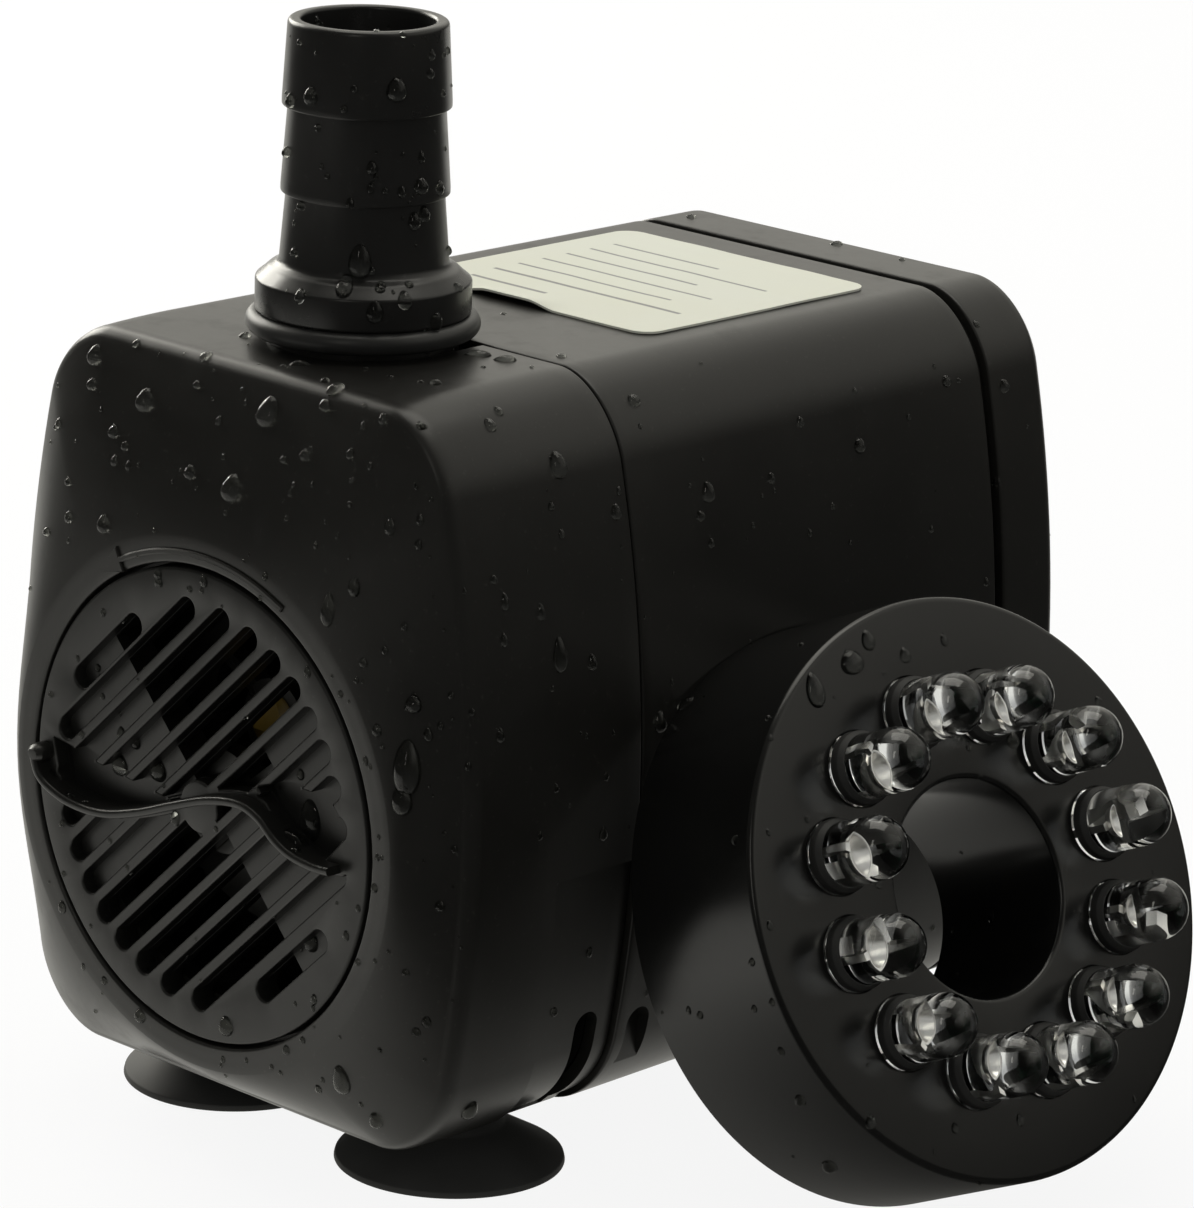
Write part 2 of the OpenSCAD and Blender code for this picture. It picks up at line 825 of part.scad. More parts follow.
module nozzle_seal() {
    half = seal_height / 2;
    color(rubber_black)
        translate([0, 0, socket_top + half])
            rotate_extrude()
                union() {
                    translate([neck_r + push_fit, -half])
                        square([seal_r - half - neck_r - push_fit, seal_height]);
                    translate([seal_r - half, 0])
                        circle(half);
                }
}

// Chamber cover with the suction eye and the front bearing's hub

module chamber_cover() {
    spigot_out = chamber_r - push_fit;
    groove_from = chamber_front_y + (spigot_l - seal_groove_w) / 2;
    color(shell_grey)
        difference() {
            union() {
                rotor_turned() {
                    tube_profile(eye_r, chamber_r + chamber_wall, cover_front_y, chamber_front_y);
                    difference() {
                        tube_profile(spigot_out - spigot_wall, spigot_out,
                                     chamber_front_y, chamber_front_y + spigot_l);
                        tube_profile(spigot_out - seal_groove_depth, chamber_r + cut,
                                     groove_from, groove_from + seal_groove_w);
                    }
                }
                intersection() {
                    for (k = [0 : spider_count - 1])
                        translate([0, 0, rotor_z])
                            rotate([0, 90 + 360 * k / spider_count, 0])
                                translate([0, cover_front_y, -spider_w / 2])
                                    cube([eye_r + cut, cover_plate_t, spider_w]);
                    y_rod(eye_r + cut, cover_front_y, chamber_front_y, rotor_z);
                }
                y_rod(front_bush_r + hub_wall, hub_front_y, front_bush_y + front_bush_l, rotor_z);
            }
            y_rod(front_bush_r + push_fit, hub_front_y - cut,
                  front_bush_y + front_bush_l + cut, rotor_z);
        }
}

module chamber_seal() {
    groove_r = chamber_r - push_fit - seal_groove_depth;
    minor = (chamber_r - groove_r) / 2 - push_fit / 2;
    color(rubber_black)
        rotor_turned()
            translate([(chamber_r + groove_r) / 2, chamber_front_y + spigot_l / 2])
                circle(minor);
}

// Impeller, rotor magnet, shaft and bushes

module impeller() {
    blade_front_y = shroud_front_y - blade_depth;
    color(nylon_white)
        difference() {
            union() {
                y_rod(impeller_r, shroud_front_y, impeller_back_y, rotor_z);
                y_rod(impeller_hub_r, blade_front_y, impeller_back_y, rotor_z);
                y_rod(sleeve_r, shroud_front_y, magnet_front_y, rotor_z);
                intersection() {
                    for (k = [0 : blade_count - 1])
                        translate([0, 0, rotor_z])
                            rotate([0, 360 * k / blade_count, 0])
                                translate([0, blade_front_y, -blade_t / 2])
                                    cube([impeller_r, blade_depth + shroud_t / 2, blade_t]);
                    y_rod(impeller_r, blade_front_y, impeller_back_y, rotor_z);
                }
            }
            y_rod(shaft_r + run_fit, blade_front_y - cut, magnet_front_y + cut, rotor_z);
        }
}

module rotor_magnet() {
    color(steel_grey)
        rotor_turned()
            tube_profile(shaft_r + run_fit, magnet_r, magnet_front_y, magnet_front_y + magnet_length);
}

module rotor_shaft() {
    color(ceramic_white)
        y_rod(shaft_r, front_bush_y + front_bush_cap, well_end_y + bush_pocket_l - front_bush_cap, rotor_z);
}

module shaft_bush_front() {
    color(bush_amber)
        difference() {
            y_rod(front_bush_r, front_bush_y, front_bush_y + front_bush_l, rotor_z);
            y_rod(shaft_r, front_bush_y + front_bush_cap, front_bush_y + front_bush_l + cut, rotor_z);
        }
}

module shaft_bush_rear() {
    color(rubber_black)
        difference() {
            y_rod(bush_pocket_r, well_end_y, well_end_y + bush_pocket_l, rotor_z);
            y_rod(shaft_r, well_end_y - cut, well_end_y + bush_pocket_l - front_bush_cap, rotor_z);
        }
}

// Stator: laminated core, two bobbins and two windings

module core_2d() {
    leg_out = leg_gap_half + leg_w;
    difference() {
        union() {
            translate([-leg_out, core_low_z])
                square([2 * leg_out, yoke_h]);
            for (side = [0, 1])
                mirror([side, 0]) {
                    translate([leg_gap_half, core_low_z])
                        square([leg_w, pole_low_z - core_low_z + yoke_h / 2]);
                    translate([pole_gap_half, pole_low_z])
                        square([pole_half_w - pole_gap_half, pole_top_z - pole_low_z]);
                }
        }
        translate([0, rotor_z])
            circle(well_r + well_wall + core_slip);
    }
}

module stator_core() {
    color(steel_grey)
        face_extrude(core_front_y, core_depth)
            core_2d();
}

// A square sleeve round one leg of the core: grow is how far its outside stands off the leg
module leg_sleeve(side, inner, outer, from_z, to_z) {
    mirror([side, 0, 0])
        difference() {
            translate([leg_gap_half - outer, core_front_y - outer, from_z])
                cube([leg_w + 2 * outer, core_depth + 2 * outer, to_z - from_z]);
            translate([leg_gap_half - inner, core_front_y - inner, from_z - cut])
                cube([leg_w + 2 * inner, core_depth + 2 * inner, to_z - from_z + 2 * cut]);
        }
}

bobbin_low_z = core_low_z + yoke_h + core_slip;
bobbin_top_z = pole_low_z - core_slip;

module bobbin(side) {
    flange_out = core_slip + bobbin_wall + bobbin_flange;
    color(nylon_white) {
        leg_sleeve(side, core_slip, core_slip + bobbin_wall, bobbin_low_z, bobbin_top_z);
        leg_sleeve(side, core_slip, flange_out, bobbin_low_z, bobbin_low_z + bobbin_wall);
        leg_sleeve(side, core_slip, flange_out, bobbin_top_z - bobbin_wall, bobbin_top_z);
    }
}

module winding(side) {
    inner = core_slip + bobbin_wall;
    color(copper_red)
        leg_sleeve(side, inner, inner + winding_t,
                   bobbin_low_z + bobbin_wall, bobbin_top_z - bobbin_wall);
}

module bobbin_left() {
    bobbin(1);
}

module bobbin_right() {
    bobbin(0);
}

module winding_left() {
    winding(1);
}

module winding_right() {
    winding(0);
}

// Resin that seals the stator in the housing

module potting_resin() {
    color(resin_black)
        difference() {
            union() {
                casing_block(motor_inner_y, lip_front_y, wall);
                casing_block(lip_front_y - cut, cover_inner_y, wall + push_fit + cover_lip_wall);
            }
            y_rod(well_r + well_wall, motor_inner_y - cut, well_back_y, rotor_z);
            stator_core();
            for (side = [0, 1])
                leg_sleeve(side, 0, core_slip + bobbin_wall + bobbin_flange, bobbin_low_z, bobbin_top_z);
            for (side = [-1, 1])
                translate([side * cup_x, rear_cup_reach, body_low])
                    cylinder(r = boss_r, h = wall + boss_h);
            y_rod(gland_flange_r, cover_inner_y - gland_tail_l, cover_inner_y + cut, gland_z);
        }
}

// Label, left bare

module rating_label() {
    color(label_white)
        translate([-label_w / 2, label_reach, body_top])
            linear_extrude(label_t) {
                translate([label_round, 0])
                    square([label_w - 2 * label_round, label_l]);
                translate([0, label_round])
                    square([label_w, label_l - 2 * label_round]);
                for (x = [label_round, label_w - label_round])
                    for (y = [label_round, label_l - label_round])
                        translate([x, y])
                            circle(label_round);
            }
}

// Suction cups

module suction_cup(x, y) {
    head_z = body_low + socket_floor_t + push_fit;
    color(rubber_black)
        translate([x, y, 0])
            rotate_extrude()
                polygon([
                    [0, cup_wall * 2], [stem_r, cup_wall * 1.8], [cup_r * 0.6, cup_height * 0.22],
                    [cup_r - cup_rim_w, 0], [cup_r, 0], [cup_r - cup_rim_w / 4, cup_rim_w],
                    [cup_r * 0.72, cup_height * 0.42], [cup_neck_r + cup_wall, cup_height * 0.72],
                    [cup_neck_r, cup_height], [stem_r, cup_height],
                    [stem_r, head_z], [stem_head_r, head_z],
                    [stem_head_r - cup_rim_w, head_z + stem_head_l], [0, head_z + stem_head_l]]);
}

module suction_cup_front_left() {
    suction_cup(-cup_x, -front_cup_reach);
}

module suction_cup_front_right() {
    suction_cup(cup_x, -front_cup_reach);
}

module suction_cup_rear_left() {
    suction_cup(-cup_x, rear_cup_reach);
}

module suction_cup_rear_right() {
    suction_cup(cup_x, rear_cup_reach);
}

// Light ring: drawn with its face at height 0 and its back below, then leaned against the pump

ring_z = ring_back_r * cos(ring_lean) + ring_t * sin(ring_lean);
ring_touch_z = 2 * ring_back_r * cos(ring_lean);
ring_touch_reach = (ring_t * cos(ring_lean) + ring_back_r * sin(ring_lean)) * cos(ring_turn);
ring_x = half_width(ring_y) * barrel(ring_touch_z) + ring_touch_reach + ring_gap;

module place_ring() {
    translate([ring_x, ring_y, ring_z])
        rotate([0, 0, -ring_turn])
            rotate([0, 90 - ring_lean, 0])
                rotate([0, 0, 90])
                    children();
}

module place_lamp(k) {
    rotate([0, 0, lamp_first_angle + 360 * k / lamp_count])
        translate([lamp_pitch_r, 0, 0])
            children();
}

function quarter(centre, r, from) =
    [for (i = [0 : 4]) let (a = from + 90 * i / 4) centre + r * [cos(a), sin(a)]];

module ring_housing() {
    inner_r = ring_face_r - ring_wall;
    sleeve_out = ring_hole_r + ring_wall;
    color(shell_grey)
        place_ring()
            difference() {
                rotate_extrude()
                    difference() {
                        polygon(concat(
                            [[ring_hole_r, -ring_t], [ring_back_r, -ring_t]],
                            quarter([ring_face_r - ring_edge, -ring_edge], ring_edge, 0),
                            quarter([ring_hole_r + hole_edge, -hole_edge], hole_edge, 90)));
                        translate([sleeve_out, -ring_t - cut])
                            square([inner_r - sleeve_out, ring_t + cut - board_depth]);
                        translate([sleeve_out + ring_ledge, -board_depth - cut])
                            square([inner_r - sleeve_out - 2 * ring_ledge, board_depth + cut - ring_face_t]);
                    }
                for (k = [0 : lamp_count - 1])
                    place_lamp(k) {
                        translate([0, 0, -lamp_sink])
                            cylinder(r = lamp_flange_r + push_fit, h = lamp_sink + cut);
                        translate([0, 0, -ring_face_t - cut])
                            cylinder(r = lead_spread + lead_w, h = ring_face_t + cut);
                    }
                rim_rod(ring_gland_r + push_fit, inner_r - cut, ring_back_r + cut);
            }
}

module ring_board() {
    sleeve_out = ring_hole_r + ring_wall;
    color(board_green)
        place_ring()
            difference() {
                translate([0, 0, -board_depth - board_t])
                    rotate_extrude()
                        tube_profile(sleeve_out + board_edge_gap, ring_face_r - ring_wall - board_edge_gap,
                                     0, board_t);
                for (k = [0 : lamp_count - 1])
                    for (side = [-1, 1])
                        place_lamp(k)
                            translate([side * lead_spread, 0, -board_depth - board_t - cut])
                                cylinder(r = lead_hole_r, h = board_t + 2 * cut);
            }
}

module ring_resin() {
    sleeve_out = ring_hole_r + ring_wall;
    color(resin_black)
        place_ring()
            difference() {
                translate([0, 0, -board_depth - board_t - resin_t])
                    rotate_extrude()
                        tube_profile(sleeve_out, ring_face_r - ring_wall, 0, resin_t);
                for (k = [0 : lamp_count - 1])
                    place_lamp(k)
                        lamp_lead_pair(0);
            }
}

// A round bar through the ring's rim, facing the rear
module rim_rod(r, from, to) {
    translate([from, 0, -ring_gland_depth])
        rotate([0, 90, 0])
            cylinder(r = r, h = to - from);
}

module ring_back() {
    sleeve_out = ring_hole_r + ring_wall;
    color(shell_grey)
        place_ring()
            translate([0, 0, -ring_t])
                rotate_extrude()
                    tube_profile(sleeve_out + push_fit, ring_face_r - ring_wall - push_fit, 0, back_t);
}

module ring_gland() {
    inner_r = ring_face_r - ring_wall;
    color(rubber_black)
        place_ring()
            difference() {
                union() {
                    rim_rod(ring_gland_r, inner_r, ring_back_r + ring_gland_l);
                    rim_rod(ring_gland_flange_r, ring_back_r, ring_back_r + gland_throat);
                }
                rim_rod(ring_gland_bore_r, inner_r - cut, ring_back_r + ring_gland_l + cut);
            }
}

// One lamp: a clear dome on a flange, with its two wires inside

module lamp_lead_pair(grow) {
    for (side = [-1, 1])
        translate([side * lead_spread - lead_w / 2, -lead_w / 2, -lead_drop])
            cube([lead_w, lead_w, lead_drop - lamp_sink + (side < 0 ? anvil_height : post_height) + grow]);
    translate([-lead_spread - anvil_w / 2, -anvil_w / 2, anvil_height - lamp_sink - anvil_w])
        cube([anvil_w + lead_spread / 2, anvil_w, anvil_w]);
}

module lamp(k) {
    dome_z = lamp_height - lamp_r;
    color(clear_epoxy)
        place_ring()
            place_lamp(k)
                difference() {
                    union() {
                        translate([0, 0, -lamp_sink])
                            cylinder(r = lamp_flange_r, h = lamp_flange_t);
                        translate([0, 0, -lamp_sink])
                            cylinder(r = lamp_r, h = dome_z + lamp_sink);
                        translate([0, 0, dome_z])
                            intersection() {
                                sphere(lamp_r);
                                cylinder(r = 2 * lamp_r, h = 2 * lamp_r);
                            }
                    }
                    lamp_lead_pair(0);
                }
}

module lamp_leads() {
    color(tin_silver)
        place_ring()
            for (k = [0 : lamp_count - 1])
                place_lamp(k)
                    lamp_lead_pair(0);
}

// Sealing bead round the foot of each lamp
module lamp_seals() {
    low = lamp_flange_t - lamp_sink;
    color(resin_black)
        place_ring()
            for (k = [0 : lamp_count - 1])
                place_lamp(k)
                    rotate_extrude()
                        polygon([[lamp_r, low], [lamp_flange_r + push_fit, low],
                                 [lamp_flange_r, lamp_seal_top - low], [lamp_r + push_fit, lamp_seal_top],
                                 [lamp_r, lamp_seal_top]]);
}

front_shell();
flow_dial();
motor_housing();
rear_cover();
cable_gland();
hose_nozzle();
nozzle_seal();
chamber_cover();
chamber_seal();
impeller();
rotor_magnet();
rotor_shaft();
shaft_bush_front();
shaft_bush_rear();
stator_core();
bobbin_left();
bobbin_right();
winding_left();
winding_right();
potting_resin();
rating_label();
suction_cup_front_left();
suction_cup_front_right();
suction_cup_rear_left();
suction_cup_rear_right();
ring_housing();
ring_board();
ring_resin();
ring_back();
ring_gland();
lamp(0);  // lamp_01
lamp(1);  // lamp_02
lamp(2);  // lamp_03
lamp(3);  // lamp_04
lamp(4);  // lamp_05
lamp(5);  // lamp_06
lamp(6);  // lamp_07
lamp(7);  // lamp_08
lamp(8);  // lamp_09
lamp(9);  // lamp_10
lamp(10);  // lamp_11
lamp(11);  // lamp_12
lamp_leads();
lamp_seals();
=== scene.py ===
"""Looks of a submersible fountain pump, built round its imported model."""

import math
from types import SimpleNamespace

import bmesh
import bpy
import numpy as np
from mathutils import Matrix, Vector
from mathutils.bvhtree import BVHTree
from mathutils.geometry import delaunay_2d_cdt


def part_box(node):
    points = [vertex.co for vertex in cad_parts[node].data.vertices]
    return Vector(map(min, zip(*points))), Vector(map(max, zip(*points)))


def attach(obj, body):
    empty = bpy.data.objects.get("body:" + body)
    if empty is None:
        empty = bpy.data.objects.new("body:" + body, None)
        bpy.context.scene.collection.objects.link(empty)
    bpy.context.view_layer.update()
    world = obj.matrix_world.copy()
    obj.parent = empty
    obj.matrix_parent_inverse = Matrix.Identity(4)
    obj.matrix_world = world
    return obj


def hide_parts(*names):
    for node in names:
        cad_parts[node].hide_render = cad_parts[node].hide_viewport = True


bl_info = {
    "name": "Submersible Fountain Pump",
    "version": (1, 0, 0),
    "blender": (4, 5, 0),
    "location": "3D View > Sidebar > Fountain Pump",
    "description": "Builds the casing, dial, nozzle, cups and light ring of a fountain pump",
    "category": "Object",
}

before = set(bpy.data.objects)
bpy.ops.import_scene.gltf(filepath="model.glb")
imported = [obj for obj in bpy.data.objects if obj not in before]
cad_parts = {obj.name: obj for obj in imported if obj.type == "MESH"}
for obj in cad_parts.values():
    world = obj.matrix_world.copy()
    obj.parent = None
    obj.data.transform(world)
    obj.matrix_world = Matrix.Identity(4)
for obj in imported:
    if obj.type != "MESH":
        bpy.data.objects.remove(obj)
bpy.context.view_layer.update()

MM = 0.001
ON_AXIS = 1e-6
NEARLY_STRAIGHT = math.radians(86)
IMAGE_W, IMAGE_H, SENSOR_MM, FOCAL_PIXELS = 1194, 1208, 36.0, 5798.66
finishes = {}


# Sizes and colours that a user would change


def length(name, description, mm):
    return bpy.props.FloatProperty(
        name=name, description=description, default=mm * MM, min=0, unit="LENGTH", subtype="DISTANCE", precision=5
    )


def angle(name, description, degrees):
    return bpy.props.FloatProperty(name=name, description=description, default=math.radians(degrees), subtype="ANGLE")


def colour(name, description, value):
    return bpy.props.FloatVectorProperty(
        name=name, description=description, default=value, min=0, max=1, size=3, subtype="COLOR"
    )


class CasingSizes(bpy.types.PropertyGroup):
    front_reach: length("Front reach", "From the outlet axis to the flat front face", 16.5)
    rear_reach: length("Rear reach", "From the outlet axis to the rear face", 56)
    seam_reach: length("Seam", "From the outlet axis to the joint behind the front shell", 5.8)
    cover_reach: length("Cover joint", "From the outlet axis to the joint in front of the rear cover", 48)
    front_width: length("Front width", "Body width just behind the rounded front", 51.2)
    rear_width: length("Rear width", "Body width at the rear face", 49.8)
    floor_height: length("Floor height", "Height of the casing's floor above the table", 4.4)
    body_height: length("Body height", "Height of the casing without its cups", 59.1)
    top_round: length("Upper edges", "Radius of the two upper long edges", 6.4)
    bottom_round: length("Lower edges", "Radius of the two lower long edges", 7)
    front_round: length("Front rounding", "Length over which the front rounds off", 12)
    rear_round: length("Rear edge", "Radius of the rear cover's outer edge", 1.5)
    land_r: length("Land", "Radius of the flat land round the dial", 21)
    wall: length("Wall", "Thickness of the casing walls", 1.8)
    groove: length("Cover groove", "Width and depth of the groove in front of the rear cover", 1)
    rotor_height: length("Rotor height", "Height of the rotor's axis above the table", 34.5)
    chamber_r: length("Chamber", "Inner radius of the pump chamber", 15.2)
    chamber_depth: length("Chamber depth", "Depth of the pump chamber in front of the motor", 12.3)
    well_r: length("Rotor well", "Inner radius of the rotor well", 7.6)
    socket_r: length("Outlet socket", "Outer radius of the outlet socket", 7.4)
    edge: length("Edge softness", "Radius of the small moulded edges", 0.22)


class DialSizes(bpy.types.PropertyGroup):
    radius: length("Radius", "Radius of the dial", 18.7)
    height: length("Centre height", "Height of the dial's centre above the table", 29.1)
    thickness: length("Thickness", "Thickness of the dial", 2.2)
    gap: length("Gap", "Gap all round the dial", 0.3)
    slot_pitch: length("Slot pitch", "Distance between neighbouring slots", 2.67)
    slot_width: length("Slot width", "Width of a slot", 1.85)
    slot_angle: angle("Slot angle", "Angle of the slots against the table", 43)
    rib_height: length("Rib height", "Height of the S-shaped grip rib", 1.4)
    rib_width: length("Rib width", "Thickness of the S-shaped grip rib", 0.7)


class NozzleSizes(bpy.types.PropertyGroup):
    bore_r: length("Bore", "Radius of the nozzle's bore", 5.12)
    barb_r: length("Barbs", "Largest radius of the hose barbs", 6.5)
    height: length("Height", "Height of the rim above the body", 24.93)
    collar_r: length("Collar", "Radius of the collar", 8.345)
    seal_r: length("Sealing ring", "Outer radius of the sealing ring under the collar", 9.08)


class CupSizes(bpy.types.PropertyGroup):
    height: length("Height", "Height of a cup from the table to the body", 4.4)
    radius: length("Radius", "Radius of a cup's rim", 9.1)
    across: length("Across", "Distance of each cup from the middle plane", 12.4)
    front_reach: length("Front cups", "How far the front cups sit in front of the outlet axis", 0.75)
    rear_reach: length("Rear cups", "How far the rear cups sit behind the outlet axis", 39.5)


class RingSizes(bpy.types.PropertyGroup):
    face_r: length("Face radius", "Outer radius of the ring at its face", 22.54)
    back_r: length("Back radius", "Outer radius of the ring at its back", 22.77)
    thickness: length("Thickness", "Thickness of the ring", 13.8)
    hole_r: length("Hole", "Radius of the hole in the middle", 8.445)
    lean: angle("Lean", "Angle by which the ring leans back", 24.1)
    turn: angle("Turn", "Angle by which the ring turns towards the front", 4.6)
    across: length("Across", "Distance from the outlet axis to the ring's face", 46.9838)
    along: length("Along", "Distance from the outlet axis to the ring's centre, to the rear", 20.7)
    pitch_r: length("Lamp circle", "Radius of the circle that the lamps stand on", 14.1535)
    lamp_r: length("Lamp radius", "Radius of a lamp", 2.45)
    lamp_height: length("Lamp height", "Height of a lamp above the ring's face", 6.95)
    first_angle: angle("First lamp", "Angle of the first lamp on its circle", 9.4)
    lamps: bpy.props.IntProperty(name="Lamps", description="Number of lamps in the ring", default=12, min=1, max=24)


class WaterSettings(bpy.types.PropertyGroup):
    seed: bpy.props.IntProperty(name="Seed", description="Pattern of the small water beads", default=7, min=0)
    small_beads: bpy.props.IntProperty(
        name="Small beads", description="How many small water beads lie on the casing", default=420, min=0
    )


class FinishColours(bpy.types.PropertyGroup):
    casing: colour("Casing", "Satin black plastic of the casing", (0.0105, 0.0101, 0.0090))
    dial: colour("Dial", "Black plastic of the dial", (0.0085, 0.0083, 0.0075))
    nozzle: colour("Nozzle", "Semi-gloss black plastic of the nozzle", (0.009, 0.0088, 0.0084))
    ring: colour("Ring", "Semi-gloss black plastic of the light ring", (0.0048, 0.0048, 0.0046))
    rubber: colour("Rubber", "Black rubber of the cups and sealing rings", (0.018, 0.018, 0.0175))
    label: colour("Label", "Off-white film of the label", (0.76, 0.775, 0.69))
    lamp: colour("Lamp", "Clear epoxy of the lamps", (0.93, 0.95, 0.94))
    # The water's grey tint is painted shade that darkens the clear beads
    water: colour("Water", "Beads of water on the pump", (0.55, 0.56, 0.52))
    amber: colour("Amber bush", "Amber rubber of the front bush", (0.2, 0.13, 0.018))


def in_mm(group):
    """The group's values, its lengths in millimetres."""
    found = {}
    for key, prop in group.bl_rna.properties.items():
        if key not in ("rna_type", "name"):
            value = getattr(group, key)
            found[key] = value / MM if getattr(prop, "unit", "") == "LENGTH" else value
    return SimpleNamespace(**found)


# Meshes


class Shape:
    """Points in millimetres and faces that become one mesh."""

    def __init__(self):
        self.points, self.faces, self.count = [], [], 0

    def add(self, points, faces):
        points = np.asarray(points, float).reshape(-1, 3)
        self.points.append(points)
        self.faces += [tuple(int(i) + self.count for i in f) for f in faces]
        self.count += len(points)

    def loft(self, rings):
        """Quads between closed rings of equally many points."""
        rings = np.asarray(rings, float)
        rows, n = rings.shape[:2]
        faces = [
            (r * n + i, r * n + (i + 1) % n, (r + 1) * n + (i + 1) % n, (r + 1) * n + i)
            for r in range(rows - 1) for i in range(n)
        ]
        self.add(rings.reshape(-1, 3), faces)

    def cap(self, ring, centre):
        n = len(ring)
        self.add(np.vstack([ring, [centre]]), [(i, (i + 1) % n, n) for i in range(n)])

    def fill(self, loops, place, inner=None):
        """Flat filling of an outer loop less the other loops, put in place by a function of 2-D points."""
        flat, tris = fill_flat(loops, inner)
        self.add(place(flat), tris)

    def slab(self, loop, *places):
        """A solid between the first and the last place of a flat loop."""
        self.loft([place(loop) for place in places])
        for place in (places[0], places[-1]):
            self.fill([loop], place)

    def turn(self, profile, place, steps=96):
        """A profile of radius and height turned round the axis, open where it ends off the axis."""
        angles = np.linspace(0, 2 * np.pi, steps, endpoint=False)
        rings = [
            np.c_[r * np.cos(angles), r * np.sin(angles), np.full(steps, h)] for r, h in profile if r > ON_AXIS
        ]
        self.loft([place(r) for r in rings])
        for at, ring in ((0, rings[0]), (-1, rings[-1])):
            if profile[at][0] <= ON_AXIS:
                self.cap(place(ring), place(np.array([[0, 0, profile[at][1]]]))[0])

    def mesh(self, name, merge=True):
        mesh = bpy.data.meshes.new(name)
        mesh.from_pydata((np.vstack(self.points) * MM).tolist(), [], self.faces)
        b = bmesh.new()
        b.from_mesh(mesh)
        if merge:
            bmesh.ops.remove_doubles(b, verts=b.verts, dist=2e-7)
        bmesh.ops.dissolve_degenerate(b, edges=b.edges, dist=1e-7)
        bmesh.ops.recalc_face_normals(b, faces=b.faces)
        b.to_mesh(mesh)
        b.free()
        return mesh


def fill_flat(loops, inner=None):
    """Triangles that fill the first loop less the others, through any inner points."""
    points = np.vstack(list(loops) + ([inner] if inner is not None and len(inner) else []))
    edges, start = [], 0
    for loop in loops:
        n = len(loop)
        edges += [(start + i, start + (i + 1) % n) for i in range(n)]
        start += n
    result = delaunay_2d_cdt([Vector(p) for p in points], edges, [], 0, 1e-7, False)
    flat = np.array([tuple(v) for v in result[0]])
    tris = np.array([tuple(f) for f in result[2]])
    inside = within(flat[tris].mean(axis=1), loops)
    return flat, [tuple(t) for t in tris[inside]]


def within(points, loops):
    """True where a point lies within an odd number of the loops."""
    x, y = points[:, 0], points[:, 1]
    inside = np.zeros(len(points), bool)
    for loop in loops:
        for a, b in zip(loop, np.roll(loop, -1, axis=0)):
            if a[1] != b[1]:
                inside ^= ((a[1] > y) != (b[1] > y)) & (x < (b[0] - a[0]) * (y - a[1]) / (b[1] - a[1]) + a[0])
    return inside


def identity(points):
    return points


def faces_front(y, height=0.0):
    """Puts flat points of x and z on a plane that faces the front."""
    return lambda flat: np.c_[flat[:, 0], np.full(len(flat), y), flat[:, 1] + height]


def faces_side(x):
    """Puts flat points of y and z on a plane that faces the side."""
    return lambda flat: np.c_[np.full(len(flat), x), flat]


def circle(r, steps, x=0.0, y=0.0):
    a = np.linspace(0, 2 * np.pi, steps, endpoint=False)
    return np.c_[x + r * np.cos(a), y + r * np.sin(a)]


def arc(r, angles):
    return np.c_[np.cos(angles), np.sin(angles)] * r


def soften(profile, radius, steps=4):
    """The profile with its corners rounded. A third number of a point is its own radius."""
    points = [np.array(p[:2], float) for p in profile]
    radii = [p[2] if len(p) > 2 else radius for p in profile]
    out = []
    for i, p in enumerate(points):
        if i in (0, len(points) - 1) or radii[i] <= 0:
            out.append(p)
            continue
        a, b = points[i - 1] - p, points[(i + 1) % len(points)] - p
        la, lb = np.linalg.norm(a), np.linalg.norm(b)
        a, b = a / la, b / lb
        half = math.acos(max(-1.0, min(1.0, a @ b))) / 2
        if half > NEARLY_STRAIGHT:
            out.append(p)
            continue
        reach = min(radii[i] / math.tan(half), 0.45 * la, 0.45 * lb)
        r = reach * math.tan(half)
        centre = p + (a + b) / np.linalg.norm(a + b) * (r / math.sin(half))
        first, last = p + a * reach - centre, p + b * reach - centre
        sweep = math.atan2(first[0] * last[1] - first[1] * last[0], first @ last)
        for k in range(steps + 1):
            t = sweep * k / steps
            c, s = math.cos(t), math.sin(t)
            out.append(centre + [c * first[0] - s * first[1], s * first[0] + c * first[1]])
    return out


def finish_mesh(name, shape, finish, body, slot, nodes=(), sharp=38):
    """A piece at the origin that rides on a body and stands for CAD nodes."""
    mesh = shape.mesh(name) if isinstance(shape, Shape) else shape
    piece = linked(name, mesh)
    if finish:
        mesh.materials.append(finishes[finish])
    mesh.polygons.foreach_set("use_smooth", [True] * len(mesh.polygons))
    mesh.set_sharp_from_angle(angle=math.radians(sharp))
    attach(piece, body)
    if nodes:
        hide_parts(*nodes)


def linked(name, data):
    """A new object in the scene, at the origin."""
    made = bpy.data.objects.new(name, data)
    bpy.context.scene.collection.objects.link(made)
    return made


def carved(mesh, cutters, operation="DIFFERENCE"):
    """The mesh after solid cutters were taken from it or joined to it."""
    piece = linked("carving", mesh)
    helpers = [linked(f"cutter_{i}", cutter) for i, cutter in enumerate(cutters)]
    for i, helper in enumerate(helpers):
        step = piece.modifiers.new(f"cut_{i}", "BOOLEAN")
        step.operation, step.object, step.solver = operation, helper, "EXACT"
        step.material_mode = "INDEX"
    made = settled(piece)
    for helper in helpers + [piece]:
        bpy.data.objects.remove(helper)
    return made


def settled(piece):
    """A plain mesh of the piece with its modifiers applied."""
    seen = piece.evaluated_get(bpy.context.evaluated_depsgraph_get())
    return bpy.data.meshes.new_from_object(seen)


def bar(r, low, high, place=identity, steps=64):
    """A round solid bar along the place's axis."""
    shape = Shape()
    shape.turn([(0, low), (r, low), (r, high), (0, high)], place, steps)
    return shape.mesh("bar")


